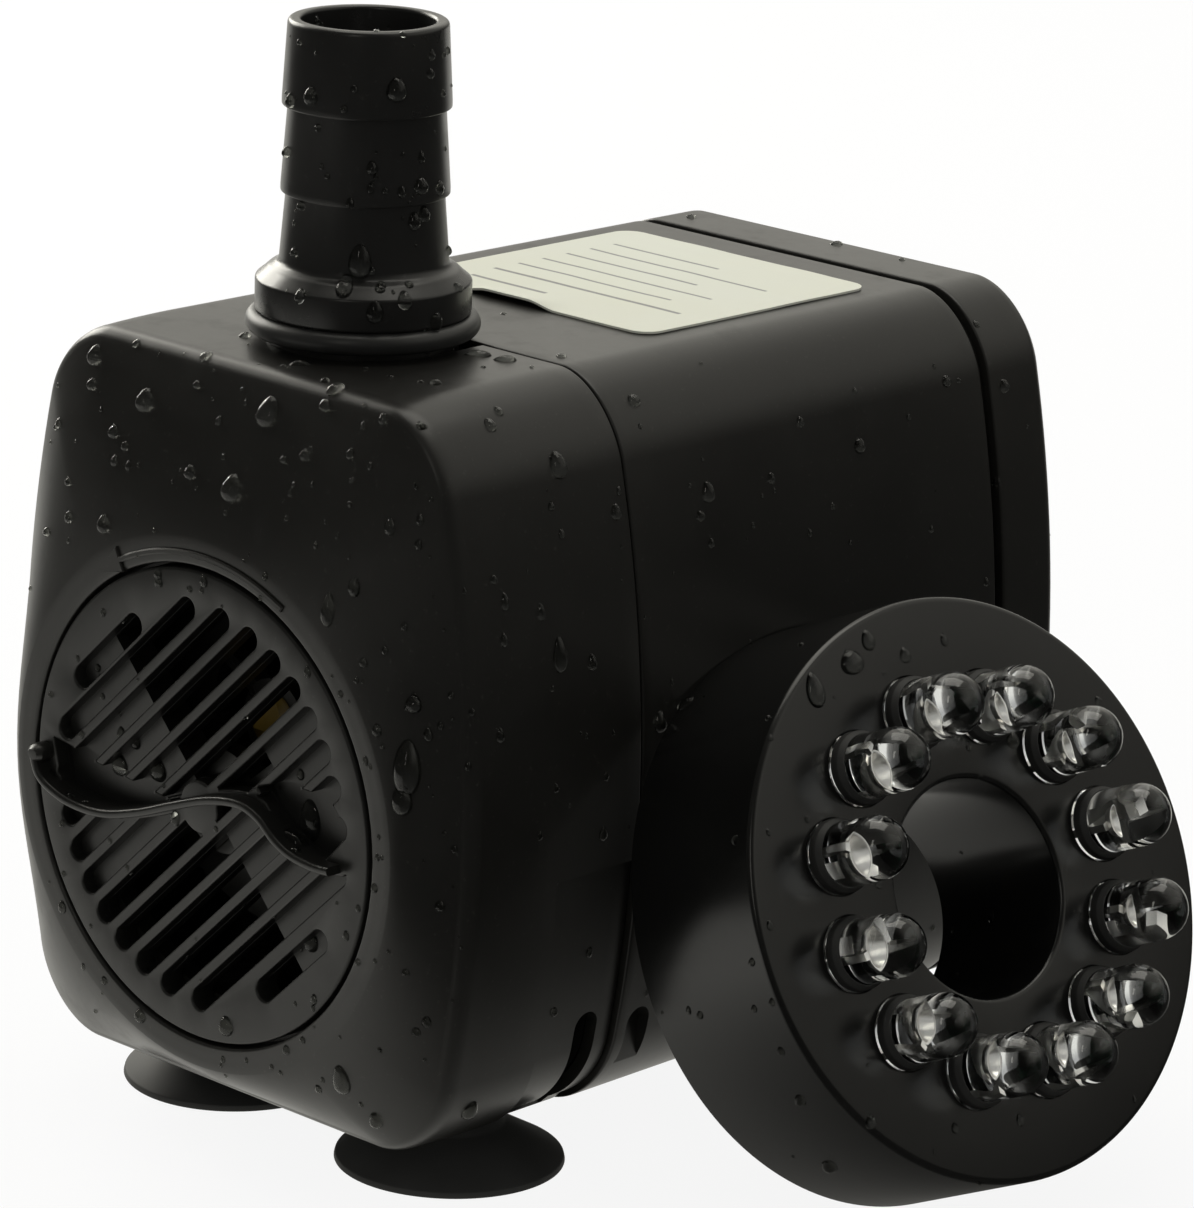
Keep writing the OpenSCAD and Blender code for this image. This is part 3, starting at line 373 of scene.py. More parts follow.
def block(low, high):
    (a, b, c), (d, e, f) = low, high
    shape = Shape()
    shape.add(
        [(x, y, z) for x in (a, d) for y in (b, e) for z in (c, f)],
        [(0, 1, 3, 2), (4, 6, 7, 5), (0, 4, 5, 1), (2, 3, 7, 6), (0, 2, 6, 4), (1, 5, 7, 3)],
    )
    return shape.mesh("block")


def along_y(height):
    """Lays an upright turned shape down, so that it faces the rear at a height."""
    return lambda p: np.c_[p[:, 0], p[:, 2], height - p[:, 1]]


def raised(x, y, z=0.0):
    return lambda p: p + [x, y, z]


# The casing's rule


def mix(a, b, t):
    return a + (b - a) * t


def bend(a, b, c, t):
    """A place on the curve from a to c that b pulls towards itself."""
    return (1 - t) ** 2 * a + 2 * t * (1 - t) * b + t ** 2 * c


def ramp(t):
    t = np.clip(t, 0, 1)
    return t * t * (3 - 2 * t)


class Casing:
    """Outlines of the casing: a barrel-sided box whose shallow front dome meets its sides at a soft crease."""

    BARREL_SHARE, WIDEST_SHARE = 0.165, 0.465
    CREASE_DEPTH, CREASE_START, CREASE_END, CREASE_INSET = 4.3, 0.45, 1.5, 1.0
    DOME_SLOPE, DOME_POWER, DRAFT = 0.4, 1.8, 0.2
    GRIP_TOP, GRIP_REACH, GRIP_DEPTH, GRIP_INNER, GRIP_FADE, GRIP_STEP = 26.4, 3.0, 0.6, 17.0, 1.5, 0.08
    FLAT_STEPS = 13

    def __init__(self, sizes, dial_height):
        self.s = s = sizes
        self.low, self.top = s.floor_height, s.floor_height + s.body_height
        self.front = -s.front_reach
        self.round_end = self.front + s.front_round
        self.dial_height = dial_height
        self.low_angles = np.radians(np.linspace(-90, 0, 24))
        self.top_angles = np.radians(np.linspace(0, 90, 20))
        side = np.linspace(self.low + s.bottom_round, self.top - s.top_round, 26)[1:-1]
        grip = [self.GRIP_TOP - self.GRIP_STEP, self.GRIP_TOP + self.GRIP_STEP]
        self.side_z = np.unique(np.concatenate([side, grip]))

    def outline(self, y, inset=0.0, grip=0.0):
        s = self.s
        half = mix(s.front_width, s.rear_width, (y - self.round_end) / (s.rear_reach - self.round_end)) / 2
        w, low, top = half - inset, self.low + inset, self.top - inset
        r_low, r_top = s.bottom_round - inset, s.top_round - inset
        floor = np.linspace(0, w - r_low, self.FLAT_STEPS)[:-1]
        flat = np.linspace(w - r_top, 0, self.FLAT_STEPS)[1:]
        right = np.vstack([
            np.c_[floor, np.full(len(floor), low)],
            np.c_[w - r_low + r_low * np.cos(self.low_angles), low + r_low + r_low * np.sin(self.low_angles)],
            np.c_[np.full(len(self.side_z), w), self.side_z],
            np.c_[w - r_top + r_top * np.cos(self.top_angles), top - r_top + r_top * np.sin(self.top_angles)],
            np.c_[flat, np.full(len(flat), top)],
        ])
        whole = np.vstack([right, right[-2:0:-1] * [-1, 1]])
        middle = self.low + self.WIDEST_SHARE * s.body_height
        swell = 1 - self.BARREL_SHARE * ((whole[:, 1] - middle) / (s.body_height / 2)) ** 2
        whole = np.c_[whole[:, 0] * swell, whole[:, 1]]
        if grip > 0:
            deep = self.outline(y, inset + self.GRIP_DEPTH)
            below = ramp((self.GRIP_TOP + self.GRIP_STEP - whole[:, 1]) / (2 * self.GRIP_STEP))
            beside = ramp((np.abs(whole[:, 0]) - self.GRIP_INNER) / self.GRIP_FADE)
            whole = mix(whole, deep, (grip * below * beside)[:, None])
        return whole

    def ring(self, y, inset=0.0, grip=0.0):
        return faces_front(y)(self.outline(y, inset, grip))

    def circle(self, r, y, height=None):
        """The outline drawn in to a circle round the dial's or another centre."""
        height = self.dial_height if height is None else height
        p = self.outline(self.round_end) - [0, height]
        return faces_front(y, height)(p / np.linalg.norm(p, axis=1)[:, None] * r)

    def between(self, y, start_r, reach, inset):
        """A ring part of the way from a circle round the dial to the outline."""
        p = self.outline(self.round_end, inset) - [0, self.dial_height]
        far = np.linalg.norm(p, axis=1)[:, None]
        return faces_front(y, self.dial_height)(p / far * (start_r + reach * (far - start_r)))

    def rounded(self, start_y, start_r, inset, steps):
        """Rings over the shallow front dome, round its soft crease and back along the sides."""
        crease_y = self.front + self.CREASE_DEPTH + inset
        dome_end, side_start = crease_y - self.CREASE_START, crease_y + self.CREASE_END
        dome_inset, side_inset = inset + self.CREASE_INSET, inset + self.DRAFT
        out = []
        for t in np.linspace(0, 1, steps + 1):
            deep = self.DOME_SLOPE * t + (1 - self.DOME_SLOPE) * t ** self.DOME_POWER
            out.append(self.between(mix(start_y, dome_end, deep), start_r, t, dome_inset))
        for t in np.linspace(0, 1, steps // 4 + 2)[1:]:
            y, i = bend(dome_end, crease_y, side_start, t), bend(dome_inset, side_inset, side_inset, t)
            out.append(self.between(y, start_r, 1, i))
        for t in (0.2, 0.5, 0.8, 1.0):
            out.append(self.between(mix(side_start, self.round_end, t), start_r, 1, inset + self.DRAFT * (1 - t) ** 2))
        return out

    def grip_share(self, y):
        return float(ramp((y + self.GRIP_REACH + self.GRIP_STEP) / (2 * self.GRIP_STEP)))


def edge_steps(radius, steps=4):
    """Inset and setback of a small rounded edge, from the side to the end face."""
    a = np.linspace(0, np.pi / 2, steps + 1)
    return [(radius * (1 - math.cos(t)), radius * (1 - math.sin(t))) for t in a]


# The dial's drawing

RIB_SHARES = [(-0.96, 0.0), (-0.93, -0.07), (-0.86, -0.115), (-0.72, -0.15), (-0.52, -0.145), (-0.30, -0.085),
              (-0.08, 0.0), (0.12, 0.07), (0.30, 0.10), (0.42, 0.07), (0.52, 0.0), (0.62, -0.04), (0.75, -0.055),
              (0.84, -0.05)]
LEFT_POCKET = [(-0.15, -0.02), (-0.32, 0.0), (-0.50, 0.02), (-0.66, 0.04), (-0.80, 0.07), (-0.90, 0.08)]
RIGHT_POCKET = [(0.84, 0.06), (0.82, 0.17), (0.74, 0.22), (0.60, 0.225), (0.46, 0.21), (0.35, 0.17)]
BAR_SHIFT, SLOT_END_R, HUB_R, MOON_HALF, MOON_SHIFT = 0.4, 15.5, 2.1, 4.0, -0.9
OPEN_START, OPEN_END, HALF_OPEN_END = 38, 135, 8.4
FAR, LAYER_STEP, RIB_SUNK = 1e9, 0.02, 1.2


def spline(points, steps):
    p = np.array(points, float)
    last = len(p) - 1
    out = []
    for i in range(last):
        a, b, c, d = p[max(i - 1, 0)], p[i], p[i + 1], p[min(i + 2, last)]
        for k in range(steps):
            t = k / steps
            out.append(0.5 * (2 * b + (c - a) * t + (2 * a - 5 * b + 4 * c - d) * t * t
                              + (3 * b - a - 3 * c + d) * t ** 3))
    return np.array(out + [p[last]])


def distance_to_line(points, line):
    """Distance of each point from an open polyline."""
    best = np.full(len(points), FAR)
    for a, b in zip(line[:-1], line[1:]):
        d = b - a
        t = np.clip(((points - a) @ d) / max(d @ d, 1e-12), 0, 1)
        best = np.minimum(best, np.linalg.norm(points - a - t[:, None] * d, axis=1))
    return best


def distance_to_polygon(points, loop):
    """Signed distance from a closed polygon, below 0 inside it."""
    far = distance_to_line(points, np.vstack([loop, loop[:1]]))
    return np.where(within(points, [loop]), -far, far)


class DialDrawing:
    """Fields over the dial's face, below 0 where a cut is."""

    def __init__(self, d):
        self.d = d
        r = d.radius
        self.rib = spline(np.array(RIB_SHARES) * r, 8)
        self.coarse_rib = spline(np.array(RIB_SHARES) * r, 4)
        self.pockets = [self.pocket(LEFT_POCKET, 2, 6), self.pocket(RIGHT_POCKET, 9, 12)]
        self.last = math.floor((SLOT_END_R - d.slot_width - BAR_SHIFT) / d.slot_pitch + 0.5)

    def pocket(self, shares, first, last):
        line = self.coarse_rib[first * 4: last * 4 + 1]
        d = np.gradient(line, axis=0)
        d /= np.linalg.norm(d, axis=1)[:, None]
        beside = line + self.d.rib_width / 2 * np.c_[-d[:, 1], d[:, 0]]
        return np.vstack([beside, spline(np.array(shares) * self.d.radius, 4)])

    def along_slots(self, p):
        """Distances along and across the slots."""
        c, s = math.cos(self.d.slot_angle), math.sin(self.d.slot_angle)
        return p[:, 0] * c + p[:, 1] * s, -p[:, 0] * s + p[:, 1] * c

    def slots(self, p):
        d, half = self.d, self.d.slot_width / 2
        u, v = self.along_slots(p)
        best = np.full(len(p), FAR)
        for k in range(1 - self.last, self.last + 1):
            offset = BAR_SHIFT + d.slot_pitch * (k - 0.5)
            reach = math.sqrt(max(0.0, SLOT_END_R ** 2 - offset ** 2))
            best = np.minimum(best, np.hypot(np.clip(np.abs(u) - reach, 0, None), v - offset) - half)
        for side in (1, -1):
            far = np.clip(np.abs(side * u - MOON_SHIFT) - MOON_HALF, 0, None)
            best = np.minimum(best, np.hypot(far, side * v - SLOT_END_R + half) - half)
        beside_rib = d.rib_width / 2 + d.gap - distance_to_line(p, self.rib)
        return np.maximum(best, np.maximum(beside_rib, HUB_R - np.linalg.norm(p, axis=1)))

    def wells(self, p):
        """The finger pockets above the rib."""
        cut = np.minimum(*[distance_to_polygon(p, q) for q in self.pockets])
        return np.maximum(cut, HUB_R - np.linalg.norm(p, axis=1))

    def open_zone(self, p):
        """Below 0 where the slots go right through, in square steps."""
        u, v = self.along_slots(p)
        k = np.round((v - BAR_SHIFT) / self.d.slot_pitch + 0.5)
        offset = BAR_SHIFT + self.d.slot_pitch * (k - 0.5)
        lean = offset / math.tan(math.radians(OPEN_END) - self.d.slot_angle)
        zone = np.where(offset > 0, lean - u, u - lean)
        return np.where(k == 0, np.minimum(zone, np.maximum(-u, u - HALF_OPEN_END)), zone)


def trace(field, reach, step):
    """Closed loops where the field crosses 0, as the left edge of what is below 0."""
    n = int(2 * reach / step) + 1
    axis = np.linspace(-reach, reach, n)
    gx, gy = np.meshgrid(axis, axis, indexing="ij")
    f = field(np.c_[gx.ravel(), gy.ravel()]).reshape(n, n)
    f[np.abs(f) < 1e-9] = 1e-9
    below = f < 0
    places, links = {}, {}

    def crossing(i, j, across):
        key = (i, j, across)
        if key not in places:
            i2, j2 = (i + 1, j) if across else (i, j + 1)
            t = f[i, j] / (f[i, j] - f[i2, j2])
            places[key] = (mix(axis[i], axis[i2], t), mix(axis[j], axis[j2], t))
        return key

    mixed = below[:-1, :-1].astype(int) + below[1:, :-1] + below[:-1, 1:] + below[1:, 1:]
    for i, j in zip(*np.nonzero((mixed > 0) & (mixed < 4))):
        a, b, c, d = below[i, j], below[i + 1, j], below[i + 1, j + 1], below[i, j + 1]
        found = []
        if a != b:
            found.append(crossing(i, j, True))
        if b != c:
            found.append(crossing(i + 1, j, False))
        if c != d:
            found.append(crossing(i, j + 1, True))
        if d != a:
            found.append(crossing(i, j, False))
        if len(found) == 2:
            pairs = [found]
        else:
            mid = f[i:i + 2, j:j + 2].mean() < 0
            pairs = [found[:2], found[2:]] if mid != a else [[found[1], found[2]], [found[3], found[0]]]
        for p, q in pairs:
            links.setdefault(p, []).append(q)
            links.setdefault(q, []).append(p)
    loops = []
    while links:
        start = next(iter(links))
        loop, here, came = [start], start, None
        while True:
            ways = links.pop(here)
            nxt = ways[0] if ways[0] != came else ways[1]
            came, here = here, nxt
            if here == start:
                break
            loop.append(here)
        loops.append(np.array([places[k] for k in loop]))
    return loops


def thinned(loop, tolerance):
    """The loop with fewer points, none further off than the tolerance."""
    far = int(np.argmax(np.linalg.norm(loop - loop[0], axis=1)))
    ring = np.vstack([loop, loop[:1]])
    keep = {0, far, len(loop)}
    spans = [(0, far), (far, len(loop))]
    while spans:
        a, b = spans.pop()
        if b - a < 2:
            continue
        d = ring[b] - ring[a]
        size = np.linalg.norm(d)
        off = ring[a + 1:b] - ring[a]
        off = np.abs(off[:, 0] * d[1] - off[:, 1] * d[0]) / size if size > 1e-9 else np.linalg.norm(off, axis=1)
        k = int(np.argmax(off))
        if off[k] > tolerance:
            keep.add(a + 1 + k)
            spans += [(a, a + 1 + k), (a + 1 + k, b)]
    return ring[sorted(keep)[:-1]]


def slope(field, points):
    """Unit direction in which the field grows."""
    e = 0.01
    g = np.c_[field(points + [e, 0]) - field(points - [e, 0]), field(points + [0, e]) - field(points - [0, e])]
    size = np.linalg.norm(g, axis=1)
    return g / np.where(size > 1e-9, size, 1)[:, None]


def pierced_plate(shape, outer, holes, field, y_front, y_back, edge, outer_edge, height):
    """A plate that faces the front, with softened holes and a softened outer edge."""
    front_loops, back_loops = [], []
    centre_out = outer / np.linalg.norm(outer, axis=1)[:, None]
    for loop, away, e in [(outer, -centre_out, outer_edge)] + [(h, slope(field, h), edge) for h in holes]:
        rows = [(loop + away * (e * (1 - math.sin(t))), y_front + e * (1 - math.cos(t)))
                for t in np.linspace(0, math.pi / 2, 4)] if e > 0 else [(loop, y_front)]
        rows.append((loop, y_back))
        shape.loft([faces_front(y, height)(flat) for flat, y in rows])
        front_loops.append(rows[0][0])
        back_loops.append(loop)
    shape.fill(front_loops, faces_front(y_front, height))
    shape.fill(back_loops, faces_front(y_back, height))


# Node trees


class Graph:
    """Adds nodes to a shader or geometry tree by type, settings and sockets."""

    def __init__(self, tree):
        self.tree = tree

    def node(self, kind, settings=None, inputs=None):
        made = self.tree.nodes.new(kind)
        for key, value in (settings or {}).items():
            setattr(made, key, value)
        for key, value in (inputs or {}).items():
            value = getattr(value, "socket", value)
            if isinstance(value, bpy.types.NodeSocket):
                self.tree.links.new(value, made.inputs[key])
            else:
                made.inputs[key].default_value = value
        return made

    def first(self, kind, settings=None, inputs=None):
        """The first output of a new node."""
        return self.node(kind, settings, inputs).outputs[0]

    def wire(self, kind, settings=None, inputs=None):
        return Wire(self, self.first(kind, settings, inputs))

    def axes(self, place):
        return [Wire(self, socket) for socket in self.node("ShaderNodeSeparateXYZ", inputs={0: place}).outputs]

    def rays(self, *kinds):
        """For each kind, 1 where the ray that asks is of that kind."""
        path = self.node("ShaderNodeLightPath")
        return [Wire(self, path.outputs[kind]) for kind in kinds]

    def blend(self, amount, first, second):
        """Colour between two colours or links, by an amount."""
        made = self.node("ShaderNodeMix", {"data_type": "RGBA"}, {"Factor": amount, 6: first, 7: second})
        return made.outputs[2]

    def mixed(self, amount, first, second):
        """One shader in place of another, by an amount."""
        return self.first("ShaderNodeMixShader", inputs={0: amount, 1: first, 2: second})


def joined_by(operation, swapped=False):
    """A method that joins a wire and a value with a Math node."""
    def join(self, other):
        return self.maths(operation, other, self) if swapped else self.maths(operation, self, other)
    return join


class Wire:
    """A value in a material's maths. An expression on it adds Math nodes."""

    __add__ = __radd__ = joined_by("ADD")
    __mul__ = __rmul__ = joined_by("MULTIPLY")
    __sub__, __rsub__ = joined_by("SUBTRACT"), joined_by("SUBTRACT", swapped=True)

    def __init__(self, graph, socket):
        self.graph, self.socket = graph, socket

    def maths(self, operation, *values):
        return self.graph.wire("ShaderNodeMath", {"operation": operation}, dict(enumerate(values)))

    def above(self, limit, soft):
        """0 well below the limit, 1 well above it."""
        return self.graph.wire("ShaderNodeMapRange", {"interpolation_type": "SMOOTHSTEP"},
                               {"Value": self, "From Min": limit - soft, "From Max": limit + soft})

    def below(self, limit, soft):
        return 1 - self.above(limit, soft)

    def size(self):
        return self.maths("ABSOLUTE", self)

    def most(self, other):
        return self.maths("MAXIMUM", self, other)


class Finish(Graph):
    """One material round a Principled shader."""

    def __init__(self, name, **constants):
        self.material = bpy.data.materials.new(name)
        self.material.use_nodes = True
        super().__init__(self.material.node_tree)
        self.tree.nodes.clear()
        self.shader = self.node("ShaderNodeBsdfPrincipled")
        self.out = self.node("ShaderNodeOutputMaterial", inputs={"Surface": self.shader.outputs[0]})
        self.place = self.node("ShaderNodeTexCoord").outputs["Object"]
        for key, value in constants.items():
            self.shader.inputs[key.replace("_", " ")].default_value = value

    def noise(self, per_metre, detail=3.0, rough=0.5):
        return self.wire("ShaderNodeTexNoise", inputs={
            "Vector": self.place, "Scale": per_metre, "Detail": detail, "Roughness": rough})

    def set(self, **links):
        for key, value in links.items():
            self.tree.links.new(getattr(value, "socket", value), self.shader.inputs[key.replace("_", " ")])

    def bump(self, height, strength, mm):
        self.set(Normal=self.first("ShaderNodeBump", inputs={
            "Height": height, "Strength": strength, "Distance": mm * MM}))


def rgba(tint, factor=1.0):
    return tuple(min(1.0, c * factor) for c in tint) + (1.0,)


def moulded_plastic(name, tint, rough, grain=0.5, smudge=0.06, haze=1.35):
    """Black moulded plastic: fine spark-eroded grain, faint haze, drying marks and rubbed patches."""
    f = Finish(name, IOR=1.46)
    cloud, fine, grains = f.noise(45, 4, 0.55), f.noise(900, 3, 0.6), f.noise(7200, 2)
    specks = f.noise(2600, 2).above(0.69, 0.03)
    marks = f.noise(210, 5, 0.62).above(0.6, 0.09)
    hazy = f.blend(cloud.above(0.5, 0.22) * 0.6 + fine * 0.2, rgba(tint, 0.8), rgba(tint, haze))
    f.set(Base_Color=f.blend(specks * 0.25, hazy, rgba(tint, 4.5)),
          Roughness=rough + smudge * (cloud - 0.5) * 2 + marks * smudge * 0.9 - fine * 0.04)
    f.bump(grains * grain + fine * 0.35 + cloud * 0.5, 0.16, 0.02)
    return f.material


def plain_finish(name, tint, rough, metallic=0.0, grain=1500.0, strength=0.1, vary=0.25):
    """A quiet finish: slight colour change, roughness change and grain."""
    f = Finish(name, Metallic=metallic)
    cloud, fine = f.noise(160, 4), f.noise(grain, 3)
    f.set(Base_Color=f.blend(cloud.above(0.5, 0.25), rgba(tint, 1 - vary), rgba(tint, 1 + vary * 0.6)),
          Roughness=rough + (cloud - 0.5) * 0.18)
    f.bump(fine, strength, 0.02)
    return f.material


# Each ruled line's distance to the rear of the outlet axis, its two ends and half its thickness, in millimetres
RULED_LINES = (
    (21.4, -9.6, -1.2, 0.22), (24.6, -10.2, 10.4, 0.22), (27.4, -10.2, 6.8, 0.16), (30.2, -10.2, 8.6, 0.16),
    (33.0, -10.2, 4.4, 0.16), (35.8, -10.2, 9.4, 0.16), (38.6, -10.2, 1.6, 0.16),
)


def label_finish(tint):
    """Off-white film with plain ruled lines and a faint yellow cast in soft patches."""
    f = Finish("label film", IOR=1.45)
    x, y, _ = f.axes(f.place)
    fibre, cloud = f.noise(1300, 4, 0.6), f.noise(70, 3)
    yellowed = (tint[0], tint[1] * 0.985, tint[2] * 0.93)
    base = f.blend(cloud.above(0.52, 0.2) * 0.5, rgba(tint), rgba(yellowed))
    lines = 0.0
    for at, low, high, half in RULED_LINES:
        lines += (y * 1000 - at).size().below(half, 0.06) * (x * 1000).above(low, 0.1) * (x * 1000).below(high, 0.1)
    ink = lines * (0.72 + fibre * 0.2)
    f.set(Base_Color=f.blend(ink, base, (0.16, 0.16, 0.17, 1)), Roughness=0.42 + fibre * 0.12)
    f.bump(fibre, 0.05, 0.02)
    return f.material


def clear_finish(name, tint, rough, ior, ripple, scale):
    f = Finish(name, Base_Color=rgba(tint), IOR=ior, Roughness=rough, Transmission_Weight=1.0)
    f.bump(f.noise(scale, 2), ripple, 0.05)
    return f.material


def ring_finish(tint):
    """Semi-gloss ring plastic with fine specks and soft smears."""
    f = Finish("ring plastic", IOR=1.5)
    cloud, fine = f.noise(60, 4), f.noise(1100, 3)
    specks = f.noise(2400, 2).above(0.72, 0.03)
    smears = f.blend(cloud.above(0.5, 0.2), rgba(tint, 0.8), rgba(tint, 1.3))
    f.set(Base_Color=f.blend(specks * 0.3, smears, rgba(tint, 6)),
          Roughness=0.19 + (cloud - 0.5) * 0.1 + fine * 0.04)
    f.bump(f.noise(5200, 2) * 0.5 + fine * 0.6, 0.06, 0.015)
    return f.material


def laminated_finish():
    """Steel sheets stacked along the axis."""
    f = Finish("stacked steel", Metallic=0.9)
    _, y, _ = f.axes(f.place)
    sheets = y.maths("FRACT", y * 2000).above(0.5, 0.35)
    rust = f.noise(300, 5).above(0.62, 0.1)
    bare = f.blend(sheets, (0.34, 0.35, 0.37, 1), (0.5, 0.51, 0.53, 1))
    f.set(Base_Color=f.blend(rust * 0.5, bare, (0.22, 0.13, 0.08, 1)), Roughness=0.42 + rust * 0.3)
    f.bump(sheets, 0.4, 0.05)
    return f.material


def wound_finish():
    """Enamelled wire, in fine rows round the leg."""
    f = Finish("enamelled copper", Metallic=0.85)
    _, _, z = f.axes(f.place)
    rows = z.maths("SINE", z * 4200 * 2 * math.pi) * 0.5 + 0.5
    f.set(Base_Color=f.blend(rows, (0.34, 0.12, 0.05, 1), (0.66, 0.28, 0.12, 1)),
          Roughness=0.34 + f.noise(500) * 0.15)
    f.bump(rows, 0.5, 0.05)
    return f.material


def make_finishes(tints):
    # The cups use the rubber painted 1.9 times lighter: painted light standing in for the light that reaches them under
    # the body
    lightened_cup_tint = tuple(c * 1.9 for c in tints.rubber)
    finishes.update({
        "casing": moulded_plastic("casing plastic", tints.casing, 0.34),
        "dial": moulded_plastic("dial plastic", tints.dial, 0.38, 0.6, 0.08),
        "nozzle": moulded_plastic("nozzle plastic", tints.nozzle, 0.3, 0.3, 0.07, 1.6),
        "ring": ring_finish(tints.ring),
        "rubber": plain_finish("black rubber", tints.rubber, 0.62, grain=900, strength=0.25),
        "cup": plain_finish("matte cup rubber", lightened_cup_tint, 0.7, grain=900, strength=0.25),
        "seal": plain_finish("sealing ring rubber", tints.rubber, 0.42, grain=700, strength=0.12),
        "label": label_finish(tints.label),
        "lamp": clear_finish("clear epoxy", tints.lamp, 0.015, 1.52, 0.05, 260),
        # Water tinted grey as painted shade in the beads
        "water": clear_finish("water", tints.water, 0.0, 1.33, 0.06, 300),
        "tin": plain_finish("tinned wire", (0.9, 0.88, 0.84), 0.28, 1.0, 900, 0.3, 0.1),
        "amber": plain_finish("amber rubber", tints.amber, 0.45, grain=800, strength=0.15),
        "ceramic": plain_finish("polished ceramic", (0.86, 0.84, 0.78), 0.15, grain=3000, strength=0.03, vary=0.05),
        "dark_nylon": plain_finish("dark nylon", (0.02, 0.02, 0.021), 0.4, grain=2500, strength=0.08),
        "ferrite": plain_finish("sintered ferrite", (0.05, 0.05, 0.055), 0.5, grain=1800, strength=0.3),
        "steel": laminated_finish(),
        "bobbin": plain_finish("bobbin nylon", (0.7, 0.69, 0.62), 0.4, grain=2500, strength=0.08, vary=0.08),
        "copper": wound_finish(),
        "potting": plain_finish("cast resin", (0.012, 0.012, 0.015), 0.18, grain=300, strength=0.08),
        "board": plain_finish("board laminate", (0.015, 0.09, 0.045), 0.35, grain=2200, strength=0.12),
    })


# Placing the ring


class RingPlace:
    """The leaned ring: its face at height 0 and its back below."""

    def __init__(self, r):
        height = r.back_r * math.cos(r.lean) + r.thickness * math.sin(r.lean)
        turn = Matrix.Rotation(-r.turn, 3, "Z")
        lean = Matrix.Rotation(math.pi / 2 - r.lean, 3, "Y")
        self.rotation = turn @ lean @ Matrix.Rotation(math.pi / 2, 3, "Z")
        self.centre = np.array([r.across, r.along, height])
        self.array = np.array(self.rotation)

    def __call__(self, points):
        return np.asarray(points, float) @ self.array.T + self.centre


# Geometry Nodes trees


def new_tree(name, **inputs):
    """A tree with a geometry input and named others, underscores standing for spaces."""
    tree = bpy.data.node_groups.new(name, "GeometryNodeTree")
    tree.interface.new_socket("Geometry", in_out="INPUT", socket_type="NodeSocketGeometry")
    for label, kind in inputs.items():
        tree.interface.new_socket(label.replace("_", " "), in_out="INPUT", socket_type=f"NodeSocket{kind}")
    tree.interface.new_socket("Geometry", in_out="OUTPUT", socket_type="NodeSocketGeometry")
    graph = Graph(tree)
    return graph, graph.node("NodeGroupInput").outputs


def end_tree(graph, geometry, material):
    whole = graph.first("GeometryNodeRealizeInstances", inputs={"Geometry": geometry})
    coated = graph.first("GeometryNodeSetMaterial", inputs={"Geometry": whole, "Material": material})
    graph.node("NodeGroupOutput", inputs={0: coated})
    return graph.tree


def attribute(graph, kind, name):
    return graph.first("GeometryNodeInputNamedAttribute", {"data_type": kind}, {"Name": name})


def grown(name, mesh, tree, **values):
    """The mesh that the tree makes from another mesh, with its named inputs set."""
    piece = linked(name, mesh)
    step = piece.modifiers.new("grow", "NODES")
    step.node_group = tree
    for item in tree.interface.items_tree:
        key = item.name.replace(" ", "_")
        if item.item_type == "SOCKET" and item.in_out == "INPUT" and key in values:
            step[item.identifier] = values[key]
    made = settled(piece)
    bpy.data.objects.remove(piece)
    made.name = name
    return made


def lamp_circle_tree():
    """Copies of one lamp's part, stood on a circle and leaned with the ring."""
    graph, given = new_tree("Lamps on a circle", Count="Int", Circle_radius="Float", First_angle="Float",
                            Centre="Vector", Rotation="Vector", Finish="Material")
    spots = graph.first("GeometryNodeMeshCircle", inputs={
        "Vertices": given["Count"], "Radius": given["Circle radius"]})
    turn = graph.wire("GeometryNodeInputIndex")
    turn = turn.maths("DIVIDE", turn, given["Count"]) * (2 * math.pi)
    spin = graph.first("ShaderNodeCombineXYZ", inputs={"Z": turn})
    copies = graph.first("GeometryNodeInstanceOnPoints", inputs={
        "Points": spots, "Instance": given["Geometry"], "Rotation": spin})
    start = graph.first("ShaderNodeCombineXYZ", inputs={"Z": given["First angle"]})
    turned = graph.first("GeometryNodeTransform", inputs={"Geometry": copies, "Rotation": start})
    leaned = graph.first("GeometryNodeTransform", inputs={
        "Geometry": turned, "Translation": given["Centre"], "Rotation": given["Rotation"]})
    return end_tree(graph, leaned, given["Finish"])


def rib_tree():
    """A raised rib with softened edges along a flat line, turned up to face the front."""
    graph, given = new_tree("Rib along a line", Width="Float", Depth="Float", Edge_radius="Float",
                            Place="Vector", Finish="Material")
    line = graph.first("GeometryNodeMeshToCurve", inputs={"Mesh": given["Geometry"]})
    upright = graph.first("GeometryNodeSetCurveNormal", {"mode": "Z_UP"}, {"Curve": line})
    sized = graph.first("GeometryNodeSetCurveRadius", inputs={
        "Curve": upright, "Radius": attribute(graph, "FLOAT", "girth")})
    profile = graph.first("GeometryNodeCurvePrimitiveQuadrilateral", inputs={
        "Width": given["Width"], "Height": given["Depth"]})
    soft = graph.first("GeometryNodeFilletCurve", {"mode": "POLY"}, {
        "Curve": profile, "Count": 5, "Radius": given["Edge radius"]})
    swept = graph.first("GeometryNodeCurveToMesh", inputs={
        "Curve": sized, "Profile Curve": soft, "Fill Caps": True})
    put = graph.first("GeometryNodeTransform", inputs={
        "Geometry": swept, "Translation": given["Place"], "Rotation": (math.pi / 2, 0, 0)})
    return end_tree(graph, put, given["Finish"])


BEAD_COLUMNS = ("skin_out", "long_way", "bead_size")


